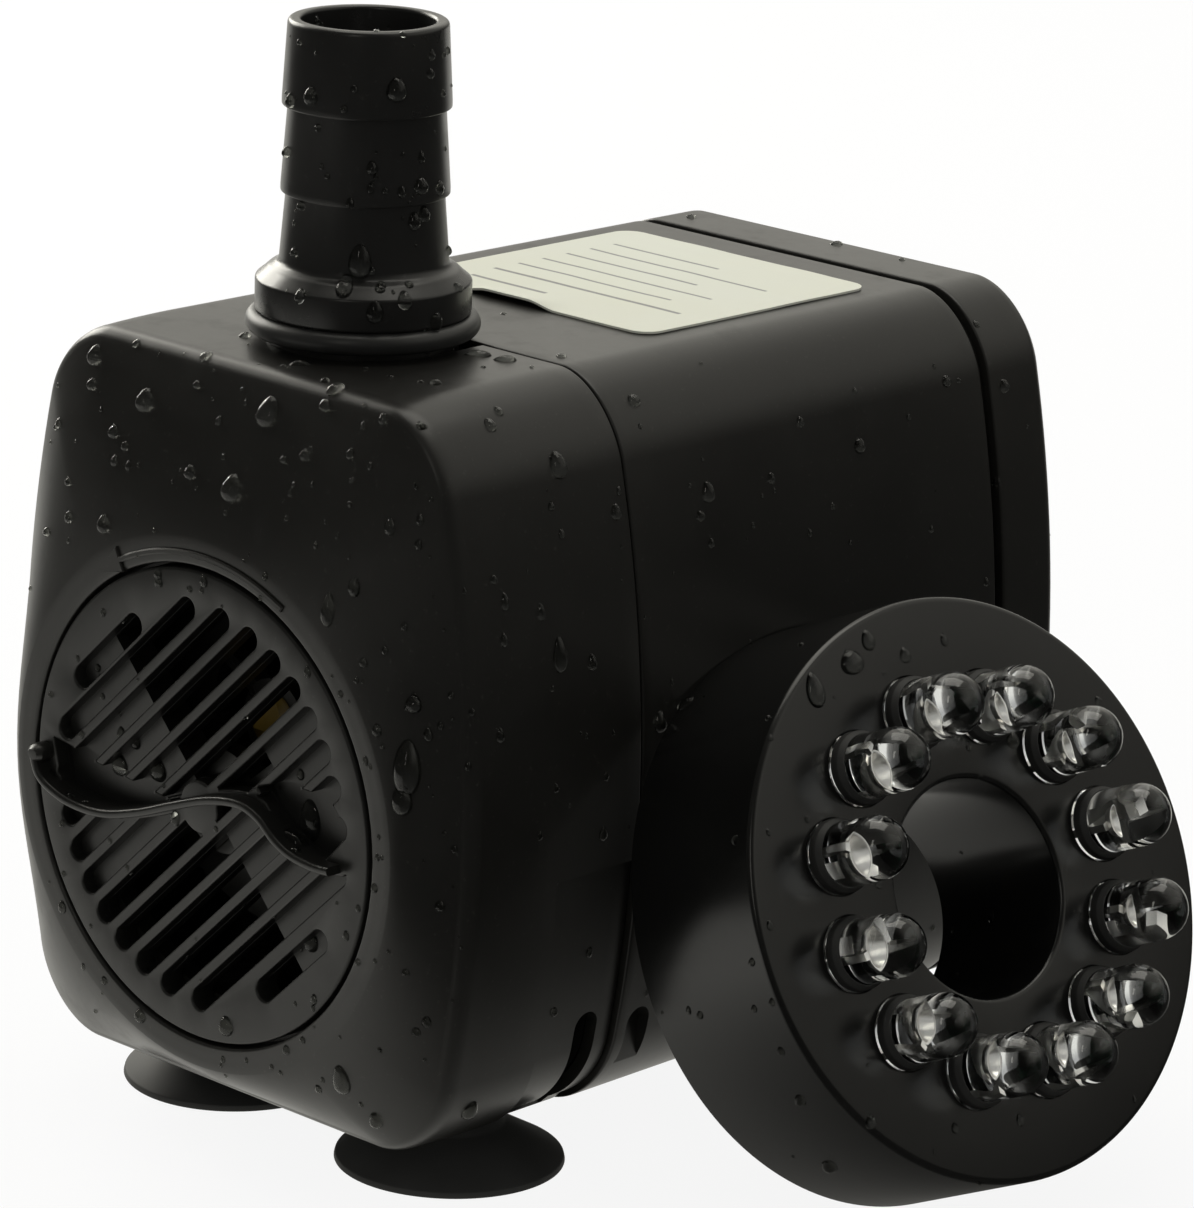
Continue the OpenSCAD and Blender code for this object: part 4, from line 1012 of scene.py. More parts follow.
def bead_tree():
    """Beads of water on points that carry a size and the skin's direction."""
    graph, given = new_tree("Beads on a skin", Bead="Object", Finish="Material")
    bead = graph.node("GeometryNodeObjectInfo", inputs={"Object": given["Bead"]}).outputs["Geometry"]
    out, down, size = (attribute(graph, "FLOAT_VECTOR", name) for name in BEAD_COLUMNS)
    aim = graph.first("FunctionNodeAxesToRotation", {"primary_axis": "Z", "secondary_axis": "X"}, {0: out, 1: down})
    copies = graph.first("GeometryNodeInstanceOnPoints", inputs={
        "Points": given["Geometry"], "Instance": bead, "Rotation": aim, "Scale": size})
    return end_tree(graph, copies, given["Finish"])


# Operators


class PumpOperator(bpy.types.Operator):
    bl_options = {"REGISTER", "UNDO"}

    def execute(self, context):
        groups = {name.removeprefix("pump_"): in_mm(getattr(context.scene, name)) for name, _ in GROUPS}
        self.build(context.scene, SimpleNamespace(**groups))
        return {"FINISHED"}


def smooth_copy(node, name, finish, body, slot):
    """A merged, smooth-shaded copy of a CAD node."""
    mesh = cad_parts[node].data.copy()
    mesh.materials.clear()
    b = bmesh.new()
    b.from_mesh(mesh)
    bmesh.ops.remove_doubles(b, verts=b.verts, dist=1e-7)
    bmesh.ops.dissolve_limit(b, angle_limit=math.radians(0.4), verts=b.verts, edges=b.edges)
    bmesh.ops.triangulate(b, faces=b.faces)
    b.to_mesh(mesh)
    b.free()
    finish_mesh(name, mesh, finish, body, slot, [node], 32)


# The casing's inner details, in millimetres: radii, then where the drains start and how high they reach
PIN_R, CUP_SOCKET_R, WINDOW_OUTER_R, WINDOW_INNER_R, DRAIN_R, OUTLET_R = 2.03, 2.05, 15.8, 4.2, 1.25, 5.82
FRONT_DRAIN, FRONT_DRAIN_TOP, SHALLOW_DRAIN_TOP, REAR_DRAIN, REAR_DRAIN_TOP = 1.6, 14.2, 13.6, 7.1, 13.4
# The plate behind the dial, the rotor well, and the rows of points along the front shell's sides
PLATE_GAP, PLATE_THICKNESS, HOLE_EDGE, PLAY = 0.2, 1.8, 0.3, 0.06
WELL_LENGTH, WELL_BOTTOM, WELL_WALL = 27.05, 4.5, 1.2
SIDE_ROWS = (-4.2, -3.6, -3.07, -3.03, -2.97, -2.93, -2, 0, 2, 4)


class PUMP_OT_front_shell(PumpOperator):
    """Builds the rounded front shell with its land, arrow, grip recesses and plate"""

    bl_idname = "pump.front_shell"
    bl_label = "Front Shell"

    def build(self, scene, g):
        s, d = g.casing, g.dial
        c = Casing(s, d.height)
        plate_front = c.front + d.thickness + PLATE_GAP
        plate_back = plate_front + PLATE_THICKNESS
        hole_r, e = d.radius + d.gap, HOLE_EDGE
        hole = [c.circle(hole_r, plate_front), c.circle(hole_r, c.front + e)]
        hole += [c.circle(hole_r + e * (1 - math.sin(t)), c.front + e * (1 - math.cos(t)))
                 for t in np.linspace(math.pi / 2, 0, 5)]
        land = [c.circle(r, c.front) for r in (19.8, 20.4)]
        sides = [c.ring(y, 0, c.grip_share(y)) for y in SIDE_ROWS]
        sides += [c.ring(s.seam_reach - s.edge, 0, 1)]
        sides += [c.ring(s.seam_reach - back, i, 1) for i, back in edge_steps(s.edge)[1:]]
        inside = c.rounded(plate_back, hole_r - PLAY, s.wall, 14)[::-1]
        shape = Shape()
        shape.loft(hole + land + c.rounded(c.front, s.land_r, 0, 40) + sides + [c.ring(s.seam_reach, s.wall)] + inside)
        openings = [window_loop(0), window_loop(180), circle(PIN_R, 40)]
        places = [faces_front(y, d.height) for y in (plate_front, plate_back)]
        for edge, place in zip((hole[0], inside[-1]), places):
            shape.fill([edge[:, [0, 2]] - [0, d.height], *openings], place)
        for loop in openings:
            shape.loft([place(loop) for place in places])
        notch_r = s.socket_r + PLAY
        cutters = [
            bar(notch_r, c.top - s.top_round, c.top + 1),
            block((-notch_r, 0, c.top - s.top_round), (notch_r, s.seam_reach + 1, c.top + 1)),
            *cup_sockets(c, g.cups, -g.cups.front_reach),
            drain_cutter(1, FRONT_DRAIN, FRONT_DRAIN_TOP, s, 17.2), shallow_drain(c),
        ]
        body = carved(shape.mesh("front_shell_skin"), cutters)
        extra = Shape()
        low, high = c.low + 1.7, c.low + 3.9
        socket = [(CUP_SOCKET_R, low), (4, low), (4, high), (3.9, high), (3.05, high), (3.05, low)]
        for side in (-1, 1):
            extra.turn(socket, raised(side * g.cups.across, -g.cups.front_reach), 48)
        arrow_on(extra, c, d)
        joined = join_meshes("front_shell_skin", [body, extra.mesh("front_extras")])
        finish_mesh("front_shell_skin", joined, "casing", "intake_housing", "casing_plastic", ["front_shell"], 36)


def shallow_drain(c):
    """Cuts the left drain only part of the way, so that no light shines through behind the dial."""
    outer, inner = c.outline(3, -1), c.outline(3, DRAIN_R)
    part = (outer[:, 0] < 0) & (outer[:, 1] < SHALLOW_DRAIN_TOP)
    shape = Shape()
    ends = (FRONT_DRAIN, FRONT_DRAIN + 2 * DRAIN_R)
    shape.slab(np.vstack([outer[part], inner[part][::-1]]), *(faces_front(y) for y in ends))
    return shape.mesh("shallow_drain")


def cup_sockets(c, cups, y):
    return [bar(CUP_SOCKET_R, c.low - 1, c.low + 2.3, raised(side * cups.across, y)) for side in (-1, 1)]


def window_loop(side):
    a = np.radians(np.linspace(OPEN_START + side, OPEN_END + side, 28))
    return np.vstack([arc(WINDOW_OUTER_R, a), arc(WINDOW_INNER_R, a[::-1])])


def drain_cutter(side, y, top, s, deep):
    """A tall slot with a round head through the lower corner, from a distance off the middle plane outwards."""
    r = DRAIN_R
    head = [(y + r - r * math.cos(t), top - r + r * math.sin(t)) for t in np.linspace(0, math.pi, 17)]
    shape = Shape()
    shape.slab(np.array([(y, 0)] + head + [(y + 2 * r, 0)]), *(faces_side(side * x) for x in (deep, s.front_width)))
    return shape.mesh("drain")


def arrow_on(shape, c, d):
    """The curved arrow embossed on the land above the dial."""
    r, half, rise, bevel, head, head_length = 19.95, 0.24, 0.25, 0.12, 1.05, 2.8
    a = np.radians(np.linspace(63, 117, 40))
    base, tip = a[-1], a[-1] + head_length / r
    loop = np.vstack([
        arc(r - half, a), arc(r - head, [base]), arc(r, [tip]), arc(r + head, [base]), arc(r + half, a[::-1])])
    top = loop - slope(lambda p: distance_to_polygon(p, loop), loop) * bevel
    low, middle, high = (faces_front(c.front - y, d.height) for y in (-0.2, rise - 0.1, rise))
    shape.loft([low(loop), middle(loop), high(top)])
    shape.fill([top], high)
    shape.fill([loop], low)


def join_meshes(name, meshes):
    b = bmesh.new()
    for mesh in meshes:
        b.from_mesh(mesh)
    joined = bpy.data.meshes.new(name)
    b.to_mesh(joined)
    b.free()
    return joined


class PUMP_OT_flow_dial(PumpOperator):
    """Builds the turning intake dial with its slots, finger pockets and S-shaped rib"""

    bl_idname = "pump.flow_dial"
    bl_label = "Flow Dial"

    def build(self, scene, g):
        d, front = g.dial, -g.casing.front_reach
        drawing = DialDrawing(d)
        rim = circle(d.radius, 200)

        def cuts(p):
            return np.minimum(drawing.slots(p), drawing.wells(p))

        def through(p):
            return np.maximum(drawing.slots(p), drawing.open_zone(p)) + LAYER_STEP

        def deeper(p):
            return np.minimum(through(p), drawing.wells(p) + LAYER_STEP)

        shape = Shape()
        layers = ((cuts, 0.0, 1.25, 0.2, 0.25), (deeper, 1.2, 1.6, 0, 0), (through, 1.55, d.thickness, 0, 0))
        for field, near, far, edge, outer_edge in layers:
            loops = [thinned(loop, 0.006) for loop in trace(field, d.radius, 0.07)]
            loops = [loop for loop in loops if len(loop) > 3 and loop_area(loop) > 0.05]
            pierced_plate(shape, rim, loops, field, front + near, front + far, edge, outer_edge, d.height)
        shape.turn([(0, 1.1), (2.0, 1.1), (2.0, 4.2), (2.6, 4.4), (2.0, 5.5), (0, 5.5)],
                   lambda p: np.c_[p[:, 0], p[:, 2] + front, p[:, 1] + d.height], 40)
        body = shape.mesh("flow_dial_grille")
        nub = Shape()
        nub.turn([(0, -1.5), (0.5, -1.45), (0.85, -1.1), (0.95, -0.6), (0.95, 0.9), (0, 0.9)],
                 lambda p: np.c_[p[:, 0] - 17.75, p[:, 2] + front, p[:, 1] * 0.8 + d.height + 0.25], 24)
        joined = join_meshes("flow_dial_grille", [body, self.rib(d, drawing.rib, front), nub.mesh("nub")])
        finish_mesh("flow_dial_grille", joined, "dial", "dial", "dial_plastic", ["flow_dial"], 32)

    def rib(self, d, line, front):
        """The S-shaped rib, slimmer towards its ends."""
        path = bpy.data.meshes.new("rib_line")
        path.from_pydata([(x * MM, z * MM, 0) for x, z in line], [(i, i + 1) for i in range(len(line) - 1)], [])
        along = np.linspace(0, 1, len(line))
        girth = (1 - 0.6 * ramp((along - 0.86) / 0.14)) * (1 - 0.15 * ramp((0.04 - along) / 0.04))
        path.attributes.new("girth", "FLOAT", "POINT").data.foreach_set("value", girth.astype(np.float32))
        depth = d.rib_height + RIB_SUNK
        place = (0, (front - d.rib_height + depth / 2) * MM, d.height * MM)
        return grown("rib", path, rib_tree(), Width=d.rib_width * MM, Depth=depth * MM, Edge_radius=0.3 * MM,
                     Place=place, Finish=finishes["dial"])


def loop_area(loop):
    x, y = loop[:, 0], loop[:, 1]
    return abs(0.5 * np.sum(x * np.roll(y, -1) - y * np.roll(x, -1)))


class PUMP_OT_motor_housing(PumpOperator):
    """Builds the motor housing with its chamber, rotor well and outlet socket"""

    bl_idname = "pump.motor_housing"
    bl_label = "Motor Housing"

    def build(self, scene, g):
        s = g.casing
        c = Casing(s, g.dial.height)
        h = s.rotor_height
        front = s.seam_reach + 0.15
        inner = front + 2
        chamber_front = front - s.chamber_depth
        well_end = inner + WELL_LENGTH
        well_back = well_end + WELL_BOTTOM
        well_outer_r, chamber_outer_r = s.well_r + WELL_WALL, s.chamber_r + s.wall
        lip_front, lip_out, lip_in = s.seam_reach - 1.5, s.wall + 0.3, 2 * s.wall + 0.3
        rings = [c.circle(r, y, h) for r, y in (
            (0.01, well_end), (s.well_r, well_end), (s.well_r, front), (s.chamber_r, front),
            (s.chamber_r, chamber_front), (chamber_outer_r, chamber_front), (chamber_outer_r, front))]
        rings += [c.ring(y, i) for y, i in (
            (front, lip_in), (lip_front, lip_in), (lip_front, lip_out), (front, lip_out))]
        rings += [c.ring(front + back, i) for i, back in edge_steps(s.edge)[::-1]]
        rings += [c.ring(y) for y in np.linspace(front + 1, s.cover_reach - 1, 16)]
        rings += [c.ring(s.cover_reach - back, i) for i, back in edge_steps(s.edge)]
        rings += [c.ring(s.cover_reach, s.wall), c.ring(inner, s.wall)]
        rings += [c.circle(r, y, h) for r, y in ((well_outer_r, inner), (well_outer_r, well_back), (0.01, well_back))]
        shape = Shape()
        shape.loft(rings)
        shape.cap(rings[0], (0, well_end, h))
        shape.cap(rings[-1], (0, well_back, h))
        body = carved(shape.mesh("motor_housing_skin"), [bar(s.socket_r, h + 9, c.top + 0.5)], "UNION")
        chamber = bar(s.chamber_r - 0.01, chamber_front + 0.01, front - 0.01, along_y(h))
        body = carved(body, [bar(OUTLET_R, h, c.top + 2), chamber, *cup_sockets(c, g.cups, g.cups.rear_reach)])
        deep = s.front_width / 2 - 3.2
        body = carved(body, [drain_cutter(side, REAR_DRAIN, REAR_DRAIN_TOP, s, deep) for side in (-1, 1)])
        finish_mesh("motor_housing_skin", body, "casing", "pump", "casing_plastic", ["motor_housing"], 36)


GLAND_HEIGHT = 18


class PUMP_OT_rear_cover(PumpOperator):
    """Builds the rear cover behind its groove, and the inlet of the supply cord"""

    bl_idname = "pump.rear_cover"
    bl_label = "Rear Cover"

    def build(self, scene, g):
        s = g.casing
        c = Casing(s, g.dial.height)
        groove_end = s.cover_reach + s.groove
        lip, lip_front, lip_back = s.wall + 0.05, s.cover_reach - 2.8, s.cover_reach + 0.01
        inner = s.rear_reach - s.wall
        rings = [c.ring(y, i) for y, i in (
            (inner, lip + 1.35), (lip_front, lip + 1.35), (lip_front, lip), (lip_back, lip), (lip_back, s.groove),
            (groove_end, s.groove))]
        rings += [c.ring(groove_end + back, i) for i, back in edge_steps(s.edge)[::-1]]
        rings += [c.ring(y) for y in np.linspace(groove_end + 0.6, s.rear_reach - s.rear_round, 5)]
        rings += [c.ring(s.rear_reach - back, i) for i, back in edge_steps(s.rear_round, 8)[1:]]
        shape = Shape()
        shape.loft(rings)
        hole = circle(4.25, 48, 0, GLAND_HEIGHT)
        for ring, y in ((rings[-1], s.rear_reach), (rings[0], inner)):
            shape.fill([ring[:, [0, 2]], hole], faces_front(y))
        shape.loft([faces_front(inner)(hole), faces_front(s.rear_reach)(hole)])
        finish_mesh("rear_cover_skin", shape, "casing", "pump", "casing_plastic", ["rear_cover"], 36)
        gland = Shape()
        wall = s.wall
        profile = [(2.75, -wall - 3), (4.2, -wall - 3), (4.2, -wall - 1.5), (5.6, -wall - 1.5), (5.6, -wall),
                   (4.2, -wall, 0), (4.2, 0, 0), (5.6, 0, 0), (5.6, 1.5), (4.6, 1.5), (4.6, 2.4), (2.75, 2.4)]
        gland.turn(soften(profile + [profile[0]], 0.25),
                   lambda p: np.c_[p[:, 0], p[:, 2] + s.rear_reach, GLAND_HEIGHT - p[:, 1]], 72)
        finish_mesh("cable_gland_rubber", gland, "rubber", "pump", "black_rubber", ["cable_gland"])


class PUMP_OT_nozzle(PumpOperator):
    """Builds the hose nozzle with its barbs and collar, and the sealing ring under it"""

    bl_idname = "pump.nozzle"
    bl_label = "Hose Nozzle"

    def build(self, scene, g):
        n = g.nozzle
        base = g.casing.floor_height + g.casing.body_height
        profile = [(n.bore_r, -11.5), (5.77, -11.5, 0.1), (5.77, 0.5, 0), (6.5, 0.5, 0), (6.5, 2.3, 0.1)]
        profile += [(n.collar_r, 2.3, 0.3), (n.collar_r, 4.85, 0.3), (n.collar_r - 0.5, 5.25, 0.4)]
        profile += [(7.3, 5.75, 1.5), (6.55, 6.15, 0.7)]
        for foot, neck in ((11.61, 0.4), (18.3, 0.45)):
            profile += [(n.barb_r - neck, foot, 0.12), (n.barb_r, foot, 0.1), (n.barb_r, foot + 0.5, 0.5)]
        profile += [(n.barb_r - 0.36, n.height, 0.4), (n.bore_r, n.height, 0.3), (n.bore_r, -11.5)]
        shape = Shape()
        shape.turn(soften(profile, 0.1), raised(0, 0, base), 160)
        finish_mesh("hose_nozzle_turned", shape, "nozzle", "nozzle", "nozzle_plastic", ["hose_nozzle"], 40)
        ring = Shape()
        half, foot, inner_r, foot_r = 0.85, 0.6, 6.55, 7.75
        t = np.linspace(-math.pi / 2, math.pi / 2, 25)
        outer = [(n.seal_r - half + half * math.cos(x), foot + half + half * math.sin(x)) for x in t]
        profile = [(inner_r, 0.5), (foot_r, 0.5), (foot_r, foot)] + outer + [(inner_r, foot + 2 * half), (inner_r, 0.5)]
        ring.turn(profile, raised(0, 0, base), 128)
        finish_mesh("nozzle_sealing_ring", ring, "seal", "nozzle", "black_rubber", ["nozzle_seal"])


class PUMP_OT_label(PumpOperator):
    """Builds the bare label on the top, its front edge slightly lifted"""

    bl_idname = "pump.label"
    bl_label = "Label"

    def build(self, scene, g):
        top = g.casing.floor_height + g.casing.body_height
        low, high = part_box("rating_label")
        x0, y0, x1, y1 = (v / MM for v in (low.x, low.y, high.x, high.y))
        r = 1.8
        corners = [(x1 - r, y1 - r, 0), (x0 + r, y1 - r, 90), (x0 + r, y0 + r, 180), (x1 - r, y0 + r, 270)]
        loop = np.vstack([arc(r, np.radians(np.linspace(a, a + 90, 9))) + [cx, cy] for cx, cy, a in corners])
        dense = []
        for p, q in zip(loop, np.roll(loop, -1, axis=0)):
            n = max(1, int(np.linalg.norm(q - p) / 0.6))
            dense += [mix(p, q, k / n) for k in range(n)]
        loop = np.array(dense)
        gx, gy = np.meshgrid(np.arange(x0 + 0.6, x1 - 0.4, 0.7), np.arange(y0 + 0.6, y1 - 0.4, 0.7), indexing="ij")
        grid = np.c_[gx.ravel(), gy.ravel()]
        grid = grid[distance_to_polygon(grid, loop) < -0.35]

        def skin(height):
            def place(flat):
                x, y = flat[:, 0], flat[:, 1]
                front = ramp((y0 + 2.6 - y) / 2.6)
                lift = 0.42 * front * ramp((x + 7) / 3) * ramp((3.5 - x) / 3)
                lift += 0.16 * front * ramp((x + 12) / 3) * ramp((-6 - x) / 3)
                wave = 0.03 * np.sin(x * 0.55 + 1) * np.sin(y * 0.4)
                return np.c_[x, y, top + height + lift + np.clip(wave, 0, None)]
            return place

        upper, lower = skin(0.2), skin(0.02)
        shape = Shape()
        shape.fill([loop], upper, grid)
        shape.fill([loop], lower, grid)
        shape.loft([lower(loop), upper(loop)])
        finish_mesh("label_film", shape, "label", "pump", "label_film", ["rating_label"], 50)


class PUMP_OT_cups(PumpOperator):
    """Builds the four rubber suction cups"""

    bl_idname = "pump.cups"
    bl_label = "Suction Cups"

    def build(self, scene, g):
        cup = g.cups
        h, r = cup.height, cup.radius
        head = g.casing.floor_height + 1.65
        profile = [(0, 1.8), (2, 1.62, 0.3), (r * 0.6, h * 0.22, 2), (r - 0.5, 0.0, 0.05), (r, 0.0, 0.12),
                   (r - 0.12, 0.5, 0.2), (r * 0.86, h * 0.26, 1.2), (r * 0.72, h * 0.42, 1.2), (4.3, h * 0.72, 0.8),
                   (3.4, h - 0.02, 0.2), (2, h - 0.02, 0), (2, head, 0), (3, head, 0.1), (2.5, head + 1.9, 0.3),
                   (0, head + 1.9)]

        def wavy(side, y):
            def place(p):
                a, out = np.arctan2(p[:, 1], p[:, 0]), np.hypot(p[:, 0], p[:, 1])
                k = 1 + 0.006 * np.sin(3 * a + side) * ramp((out - 4.5) / 4)
                return np.c_[p[:, 0] * k + side * cup.across, p[:, 1] * k + y, p[:, 2]]
            return place

        for which, y, body in (("front", -cup.front_reach, "intake_housing"), ("rear", cup.rear_reach, "pump")):
            shape = Shape()
            for side in (-1, 1):
                shape.turn(soften(profile, 0.1), wavy(side, y), 112)
            nodes = [f"suction_cup_{which}_left", f"suction_cup_{which}_right"]
            finish_mesh(f"{which}_cups_rubber", shape, "cup", body, "black_rubber", nodes, 40)


class PUMP_OT_light_ring(PumpOperator):
    """Builds the ring's housing with its lamp holes, and the inlet of its lead"""

    bl_idname = "pump.light_ring"
    bl_label = "Light Ring"

    def build(self, scene, g):
        r = g.ring
        place = RingPlace(r)
        steps, e, he = 192, 0.5, 0.4
        quarter = np.linspace(0, math.pi / 2, 8)
        outer = [(r.face_r - e + e * math.cos(t), -e + e * math.sin(t)) for t in quarter]
        hole = [(r.hole_r + he - he * math.sin(t), -he + he * math.cos(t)) for t in quarter]
        inner_r, sleeve = r.face_r - 1.4, r.hole_r + 1.4
        back, ledge, face_back, seat = -r.thickness, -5.0, -1.6, -0.7
        shape = Shape()
        for profile in ([(sleeve, back), (r.hole_r, back)] + hole[::-1],
                        outer[::-1] + [(r.back_r, back), (inner_r, back)],
                        [(inner_r, back), (inner_r, ledge), (inner_r - 1, ledge), (inner_r - 1, face_back)],
                        [(sleeve, back), (sleeve, ledge), (sleeve + 1, ledge), (sleeve + 1, face_back)]):
            shape.turn(profile, place, steps)
        flange = r.lamp_r + 0.45
        spots = [r.first_angle + 2 * math.pi * k / r.lamps for k in range(r.lamps)]
        centres = [(r.pitch_r * math.cos(a), r.pitch_r * math.sin(a)) for a in spots]

        def at(height):
            return lambda flat: place(np.c_[flat, np.full(len(flat), height)])

        soft, wide, slim = ([circle(size, n, *c) for c in centres] for size, n in (
            (flange + 0.1, 56), (flange, 56), (1.77, 32)))
        shape.fill([circle(r.face_r - e, steps), circle(r.hole_r + he, steps), *soft], at(0))
        shape.fill([circle(inner_r - 1, steps), circle(sleeve + 1, steps), *slim], at(face_back))
        for a, b, c in zip(soft, wide, slim):
            shape.loft([at(0)(a), at(-0.1)(b), at(seat)(b)])
            shape.fill([b, c], at(seat))
            shape.loft([at(seat)(c), at(face_back)(c)])
        finish_mesh("ring_housing_skin", shape, "ring", "light_ring", "ring_plastic", ["ring_housing"], 36)
        for node, end, finish, slot in (
                ("ring_gland", "rubber", "rubber", "black_rubber"), ("ring_back", "plate", "ring", "ring_plastic"),
                ("ring_board", "plate", "board", "board_laminate"), ("ring_resin", "fill", "potting", "potting")):
            smooth_copy(node, f"{node}_{end}", finish, "light_ring", slot)


class PUMP_OT_lamps(PumpOperator):
    """Builds the clear lamps, their lead frames and the dark collars round their feet"""

    bl_idname = "pump.lamps"
    bl_label = "Lamps"

    def build(self, scene, g):
        r = g.ring
        place = RingPlace(r)
        tree = lamp_circle_tree()
        dome_z = r.lamp_height - r.lamp_r
        profile = [(0, -0.7), (r.lamp_r + 0.36, -0.7, 0), (r.lamp_r + 0.36, 0.26, 0.12), (r.lamp_r, 0.3, 0.08)]
        profile = soften(profile + [(r.lamp_r, dome_z)], 0.1)
        profile += [(r.lamp_r * math.cos(t), dome_z + r.lamp_r * math.sin(t))
                    for t in np.linspace(0, math.pi / 2, 14)[1:-1]]
        clear, collar = Shape(), Shape()
        clear.turn(profile + [(0, r.lamp_height)], identity, 48)
        collar.turn(soften([(r.lamp_r + 0.02, 0.28), (r.lamp_r + 0.42, 0.0), (r.lamp_r + 0.38, 0.75, 0.25),
                            (r.lamp_r + 0.1, 1.2, 0.1), (r.lamp_r + 0.02, 1.2)], 0.05), identity, 40)
        lamps = [f"lamp_{k:02d}" for k in range(1, r.lamps + 1)]
        for name, one, finish, slot, nodes, sharp in (
                ("lamp_domes", clear.mesh("lamp_dome"), "lamp", "clear_epoxy", lamps, 40),
                ("lamp_frames", self.lead_frame(), "tin", "tinned_wire", ["lamp_leads"], 30),
                ("lamp_collars", collar.mesh("lamp_collar"), "rubber", "black_rubber", ["lamp_seals"], 40)):
            mesh = grown(name, one, tree, Count=r.lamps, Circle_radius=r.pitch_r * MM, First_angle=r.first_angle,
                         Centre=tuple(place.centre * MM), Rotation=tuple(place.rotation.to_euler()),
                         Finish=finishes[finish])
            finish_mesh(name, mesh, None, "light_ring", slot, nodes, sharp)

    def lead_frame(self):
        """Two legs, the wide one with its reflector cup, the slim one with its hook."""
        shape = Shape()
        for leg in ([(-1.55, -8.2), (-1.0, -8.2), (-1.0, 0.6), (0.15, 1.5), (0.55, 2.1), (0.55, 2.5), (-1.75, 2.5),
                     (-1.85, 1.2), (-1.55, 0.6)],
                    [(1.0, -8.2), (1.55, -8.2), (1.55, 1.0), (1.75, 1.9), (1.55, 3.3), (1.0, 3.45), (0.85, 3.1),
                     (1.25, 2.6), (1.2, 1.8), (1.0, 1.0)]):
            shape.slab(np.array(leg, float), *(faces_front(y) for y in (-0.25, 0.25)))
        cup = [(0, 2.3), (0.62, 2.3, 0.05), (0.8, 3.0, 0.03), (0.7, 3.0, 0.02), (0.5, 2.5, 0.02), (0, 2.48)]
        shape.turn(soften(cup, 0.02, 2), raised(-0.35, 0, 0), 28)
        return shape.mesh("lead_frame", merge=False)


class PUMP_OT_inside(PumpOperator):
    """Dresses the chamber, rotor, stator and resin inside the casing"""

    bl_idname = "pump.inside"
    bl_label = "Inside Pieces"

    PIECES = (
        ("chamber_cover", "casing", "pump", "casing_plastic"), ("chamber_seal", "seal", "pump", "black_rubber"),
        ("impeller", "dark_nylon", "rotor", "rotor_nylon"), ("rotor_magnet", "ferrite", "rotor", "ferrite"),
        ("rotor_shaft", "ceramic", "pump", "ceramic_shaft"), ("shaft_bush_front", "amber", "pump", "amber_rubber"),
        ("shaft_bush_rear", "rubber", "pump", "black_rubber"), ("stator_core", "steel", "pump", "lamination_steel"),
        ("bobbin_left", "bobbin", "pump", "bobbin_nylon"), ("bobbin_right", "bobbin", "pump", "bobbin_nylon"),
        ("winding_left", "copper", "pump", "copper"), ("winding_right", "copper", "pump", "copper"),
        ("potting_resin", "potting", "pump", "potting"),
    )

    def build(self, scene, g):
        for node, finish, body, slot in self.PIECES:
            smooth_copy(node, f"{node}_piece", finish, body, slot)


WET_SKINS = {
    "front_shell_skin": "intake_housing", "flow_dial_grille": "dial", "motor_housing_skin": "pump",
    "rear_cover_skin": "pump", "hose_nozzle_turned": "nozzle", "ring_housing_skin": "light_ring",
}
DRY_SKINS = ("label_film", "lamp_domes", "lamp_collars", "nozzle_sealing_ring", "front_cups_rubber")

